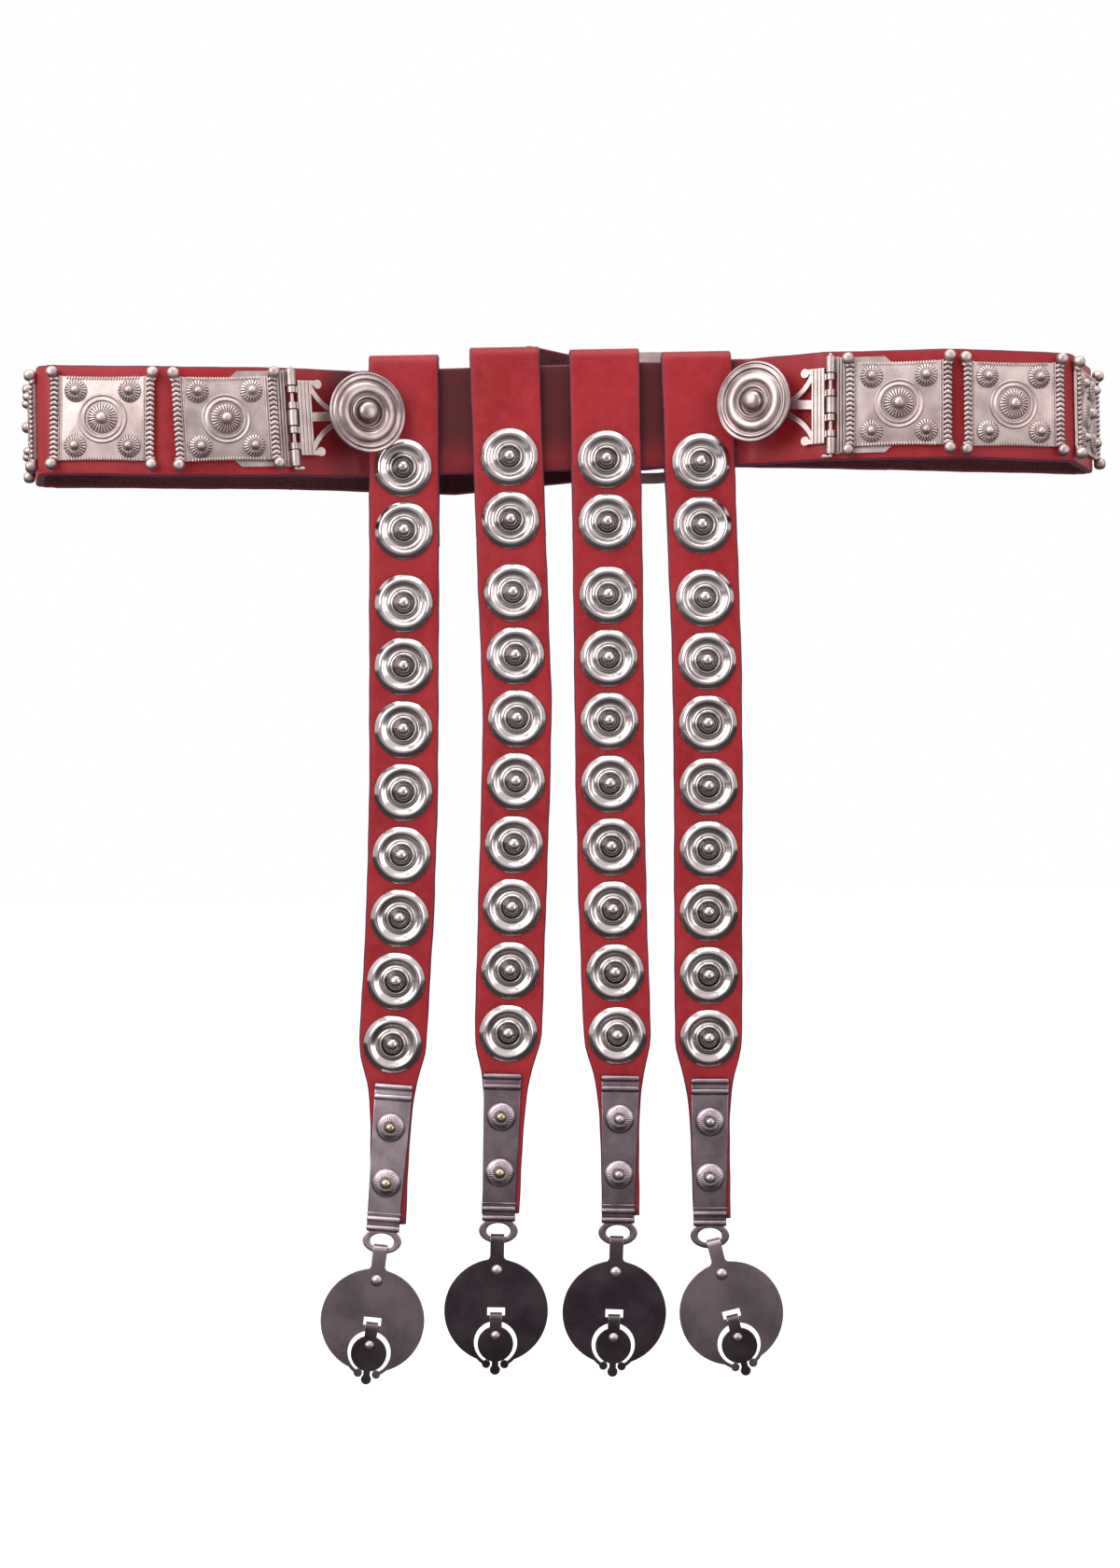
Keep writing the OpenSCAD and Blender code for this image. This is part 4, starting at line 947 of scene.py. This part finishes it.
def casting(name, at):
    """Slab with a double ring, a fluted boss and the bars and posts of its border."""
    edge = [(x, plate_edge(x)) for x in np.linspace(-PLATE_L / 2, PLATE_L / 2, 25)]
    top = at @ shifted(0, 0, PLATE_T)
    parts = [
        sheet(name + "_slab", [[*edge, *[(x, -y) for x, y in reversed(edge)]]], at, PLATE_T, bevel=0.25),
        moved(lathe(PLATE_RING, 96), top),
        moved(fluted(PLATE_BOSS, flutes=26, inner=2.7, outer=6.45, depth=0.65), top),
    ]
    for side in (-1, 1):
        for x, z, radius, reach in BARS:
            bar = tube([(side * x, y, z) for y in np.linspace(-reach, reach, 12)], radius)
            parts.append(moved(bar, at))
        for end in (-1, 1):
            post = at @ shifted(side * PLATE_L / 2, end * POST_Y, POST_RISE) @ turned(90, "X")
            parts.append(moved(lathe(POST, 20), post))
    return joined(*parts)


def rope(at):
    """Places of the beads that make both ropes of a plate, slanting towards each other."""
    return [
        at @ shifted(side * ROPE_X + row * BEAD_ASIDE, y, PLATE_T + BEAD_RISE)
        @ turned(BEAD_SLANT * row, "Z") @ turned(90, "X")
        for side in (-1, 1) for row in (-1, 1) for y in np.linspace(-BEAD_Y, BEAD_Y, BEADS)
    ]


def milling(at):
    """Places of the teeth along both hollowed edges of a plate."""
    return [
        at @ shifted(x, b * (plate_edge(x) - 0.5), PLATE_T) @ turned(90, "X")
        for x in np.linspace(-MILLING_X, MILLING_X, TEETH) for b in (-1, 1)
    ]


def plates():
    """Cast belt plates with their rosettes."""
    heads, backs = [], []
    for name, place in PLATES.items():
        at = on_belt(place, place[4])
        body = build(name + "_casting", casting(name, at), CAST, smooth=35)
        on(body, "belt", name)
        balls = [at @ shifted(a * PLATE_L / 2, b * BALL_Y, BALL_R) for a, b in CORNERS]
        on(set_out(name + "_balls", lathe(BALL, 28), balls, CAST), "belt")
        on(set_out(name + "_rope", lathe(BEAD, 10), rope(at), CAST), "belt")
        on(set_out(name + "_milling", lathe(TOOTH, 8), milling(at), CAST), "belt")
        heads += plate_corners(place, place[4] + PLATE_T + GAP)
        backs += plate_corners(place, 0)
    on(set_out("plate_rosettes", plate_rosette(), heads, CAST), "belt", "plate_rivets")
    on(set_out("plate_washers", clench(BELT_T), backs, CAST), "belt")


# Frog buttons: profiles of the turned head, the stem and the clenched tail
BUTTON_HEAD = rounded([
    (0, -0.8), (BUTTON_R - 0.8, -0.8), (BUTTON_R - 0.1, -0.3), (BUTTON_R, 0.4), (17.3, 1.0), (16.8, 0.6),
    (16.3, 0.45), (15.9, 0.9), (15.3, 1.2), (14.6, 0.95), (14.2, 0.3), (13.7, 0.25), (13.3, 0.7),
    (12.2, 1.35), (10.6, 1.6), (9.2, 1.3), (8.4, 0.5), (7.9, 0.25), (7.6, 0.8), (7.1, 1.6), (6.6, 1.75),
    (6.2, 1.2), (5.9, -0.1), (5.2, -0.1), (4.95, 0.4), (4.9, 1.5), (4.4, 2.8), (3.3, 3.7), (1.8, 4.15),
    (0.6, 4.25), (0, 4.25),
], 2)
BUTTON_STEM = [(0, -0.8), (3.2, -0.8), (2.6, -1.4), (2.5, -4), (2.5, -6.5), (3.0, -7.7), (0, -7.7)]
BUTTON_TAIL = [(0, -8.4), (1.4, -8.4), (1.4, -9.2), (2.5, -9.25), (2.2, -9.8), (0, -9.9)]


def frog_buttons():
    form = joined(lathe(BUTTON_HEAD, 96), lathe(BUTTON_STEM, 32), lathe(BUTTON_TAIL, 24))
    for side in ("left", "right"):
        obj = build(side + "_button", moved(form, on_button(side)), TURNED, smooth=50)
        on(obj, side + "_frog", side + "_frog_button")


# Strap ends: section of a half-round rib, and the brass-coloured dome over a rosette's own, a painted warm
# highlight
RIB = [(math.cos(a) * END_RIB_R, math.sin(a) * END_RIB_H) for a in (math.pi * k / 8 for k in range(9))]
HIGHLIGHT_DOME = rounded([
    (0, 2.3), (2.2, 2.3), (2.17, 2.8), (1.95, 3.33), (1.44, 3.76), (0.82, 4.02), (0.3, 4.08), (0, 4.08),
], 2)
HIGHLIGHT_DOMED = (0, 1)


def end_half(y):
    """Half width of a strap end at that distance below its top."""
    return END_W / 2 * (1 + (END_TAPER - 1) * y / END_L)


def oval(radii, y):
    """Outline of an oval round a point of the y axis."""
    angles = [2 * math.pi * k / 64 for k in range(64)]
    return [(radii[0] * math.cos(a), y + radii[1] * math.sin(a)) for a in angles]


def end_rib(y):
    """Half-round rib across a strap end, rounded off at both ends."""
    w = end_half(y) + 0.1
    ends = [(-w, 0.55), (-w + 0.3, 0.9), (-w + 0.7, 1), (w - 0.7, 1), (w - 0.3, 0.9), (w, 0.55)]
    return sweep([[(x, -y + a * share, END_T - GAP + b * share) for a, b in RIB] for x, share in ends])


def strap_end(s):
    """Folded sheet end with half-round ribs, fluted rosettes and an oval ring."""
    n = s + 1
    body = f"strap_{n}"
    at = on_end(s, GAP)
    finish = DULL if s == 0 else TARNISHED
    top, bottom = end_half(0), end_half(END_L)
    strip = [(-top, 0), (-bottom, -END_L), (bottom, -END_L), (top, 0)]
    ring_y = -END_L + RING_LAP - RING_OUT[1]
    lip = end_half(END_LIP) - 0.1
    parts = [
        sheet(body + "_strip", [strip], at, END_T, bevel=0.4),
        sheet(body + "_ring", [oval(RING_OUT, ring_y), oval(RING_IN, ring_y)], at, END_T, bevel=0.45),
        *[moved(end_rib(y), at) for y in END_RIBS],
        moved(tube([(x, -END_LIP, END_T - GAP) for x in np.linspace(-lip, lip, 6)], END_LIP_R, 8), at),
    ]
    obj = build(body + "_end_sheet", joined(*parts), finish, smooth=45)
    on(obj, body, body + "_end")
    heads = [on_end(s, END_T + 2 * GAP) @ shifted(0, -y, 0) for y in END_ROSETTES]
    obj = set_out(body + "_rosette_heads", flanged_rosette(), heads, DULL)
    on(obj, body, body + "_rosettes")
    # painted warm highlight: brass-coloured domes over the rosettes of the first two strap ends
    if s in HIGHLIGHT_DOMED:
        on(set_out(body + "_rosette_tips", lathe(HIGHLIGHT_DOME, 40), heads, PAINTED_WARM_HIGHLIGHT), body)
    backs = [moved(clench(STRAP_T), on_end(s) @ shifted(0, -y, 0)) for y in END_ROSETTES]
    on(build(body + "_end_washers", joined(*backs), DULL), body)


def eased(node, finish, width=0.18, edge_finish=None):
    """A copy of a CAD node that stands for it, with its sharp edges eased, and rubbed bright if asked."""
    obj = build(node + "_eased", form_of(frame["nodes"][node].data), finish, smooth=30)
    flat = obj.modifiers.new("flat", "DECIMATE")
    flat.decimate_type = "DISSOLVE"
    flat.angle_limit = math.radians(0.5)
    close = obj.modifiers.new("close", "WELD")
    close.merge_threshold = 0.1 * MM
    ease = obj.modifiers.new("ease", "BEVEL")
    ease.width = width * MM
    ease.segments = 2
    ease.limit_method = "ANGLE"
    ease.angle_limit = math.radians(30)
    ease.harden_normals = True
    if edge_finish:
        obj.data.materials.append(edge_finish)
        ease.material = 1
    obj = plain(obj)
    on(obj, BODY_OF[node], node)


# Camera: 50 mm lens, level, a metre in front, rolled by a degree. Its focal length and the height of
# the picture are in pixels
FOCAL = 2342
PICTURE_H = 1680
SENSOR = 36
CAMERA_PLACE = (-0.0031, -1.0, -0.166)
CAMERA_ROLL = -1
FLOOR_Z = -0.52
FLOOR_REACH = 6


def camera():
    data = bpy.data.cameras.new("camera")
    data.sensor_width = SENSOR
    data.lens = SENSOR * FOCAL / PICTURE_H
    obj = linked("camera", data)
    obj.matrix_world = shifted(*CAMERA_PLACE) @ turned(90, "X") @ turned(CAMERA_ROLL, "Z")
    bpy.context.scene.camera = obj


def lamp(name, place, target, size, power):
    data = bpy.data.lights.new(name, "AREA")
    data.shape = "RECTANGLE"
    data.size, data.size_y = size
    data.energy = power
    obj = linked(name, data)
    obj.location = place
    obj.rotation_euler = (Vector(target) - Vector(place)).to_track_quat("-Z", "Y").to_euler()


def grey(value):
    return (value, value, value, 1)


def surroundings():
    """A white backdrop, even light, and what the metal mirrors: a bright ceiling, lit sides, a dark
    floor and a dim room behind the camera."""
    world = bpy.data.worlds.new("studio")
    bpy.context.scene.world = world
    tree = emptied(world)
    path = add(tree, "ShaderNodeLightPath").outputs
    seen = maths(tree, "MAXIMUM", path["Is Camera Ray"], path["Is Transmission Ray"])
    generated = add(tree, "ShaderNodeTexCoord").outputs["Generated"]
    direction = add(tree, "ShaderNodeSeparateXYZ", {0: generated}).outputs
    high = ramp(tree, direction["Z"], -0.12, 0.5)
    aside = ramp(tree, maths(tree, "ABSOLUTE", direction["X"]), 0.4, 0.8)
    lit = maths(tree, "MAXIMUM", high, maths(tree, "MULTIPLY", aside, 0.7))
    room = ramp(tree, maths(tree, "MULTIPLY", direction["Y"], -1.0), 0.8, 0.985)
    slope = maths(tree, "MULTIPLY_ADD", direction["X"], -0.5, direction["Z"])
    wall = mix(tree, ramp(tree, slope, -0.4, 0.35), grey(0.2), grey(0.62))
    glossy = mix(tree, room, mix(tree, lit, grey(0.03), grey(1.1)), wall)
    light = mix(tree, path["Is Glossy Ray"], (0.42, 0.42, 0.43, 1), glossy)
    shown = {"Color": mix(tree, seen, light, grey(1)), "Strength": 1.0}
    background = add(tree, "ShaderNodeBackground", shown)
    add(tree, "ShaderNodeOutputWorld", {"Surface": background.outputs[0]})


def floor():
    """Pale to the eye and in the light it throws back, but mirrored dim where it is near the object."""
    mesh = bpy.data.meshes.new("floor")
    corners = [(a * FLOOR_REACH, b * FLOOR_REACH, FLOOR_Z) for a, b in ((-1, -1), (1, -1), (1, 1), (-1, 1))]
    mesh.from_pydata(corners, [], [(0, 1, 2, 3)])
    made = bpy.data.materials.new("pale studio floor")
    tree = emptied(made)
    path = add(tree, "ShaderNodeLightPath").outputs
    place = add(tree, "ShaderNodeTexCoord").outputs["Object"]
    ahead = add(tree, "ShaderNodeSeparateXYZ", {0: place}).outputs["Y"]
    mirrored = mix(tree, ramp(tree, ahead, -0.15, -1.1), grey(0.08), grey(0.72))
    tone = mix(tree, path["Is Glossy Ray"], grey(0.82), mirrored)
    lit = add(tree, "ShaderNodeBsdfDiffuse", {"Color": tone})
    strength = maths(tree, "MULTIPLY", path["Is Camera Ray"], 0.72)
    glow = add(tree, "ShaderNodeEmission", {"Color": grey(1), "Strength": strength})
    both = add(tree, "ShaderNodeAddShader", {0: lit.outputs[0], 1: glow.outputs[0]})
    add(tree, "ShaderNodeOutputMaterial", {"Surface": both.outputs[0]})
    mesh.materials.append(made)
    linked("floor", mesh)


def studio():
    surroundings()
    lamp("key", (-1.1, -1.2, 0.65), (0, 0, -0.12), (1.1, 1.3), 19)
    lamp("fill", (1.3, -1.1, 0.1), (0, 0, -0.15), (0.7, 1.2), 5)
    lamp("top", (0.1, -0.35, 1.1), (0, 0, -0.1), (1.2, 0.6), 7)
    floor()
    bpy.context.scene.view_settings.view_transform = "Standard"


camera()
studio()
belt()
plates()
frog_buttons()
for number in range(4):
    strap(number)
    studs(number)
    strap_end(number)
for side_name in ("left", "right"):
    for part_name in ("hinge_leaf", "hinge_pin", "frog_plate"):
        eased(f"{side_name}_{part_name}", CAST)
for part_name in ("buckle_chape", "chape_rivets", "buckle_loop", "buckle_prong"):
    eased(part_name, CAST)
for number in range(1, 5):
    disc = PALE_DARK if number in (1, 4) else DARK
    eased(f"pendant_{number}", disc, width=0.32, edge_finish=NICKEL)
    eased(f"drop_{number}", DARK, width=0.28, edge_finish=NICKEL)
    for part_name in (f"pendant_{number}_rivet", f"drop_{number}_rivet"):
        eased(part_name, DULL)
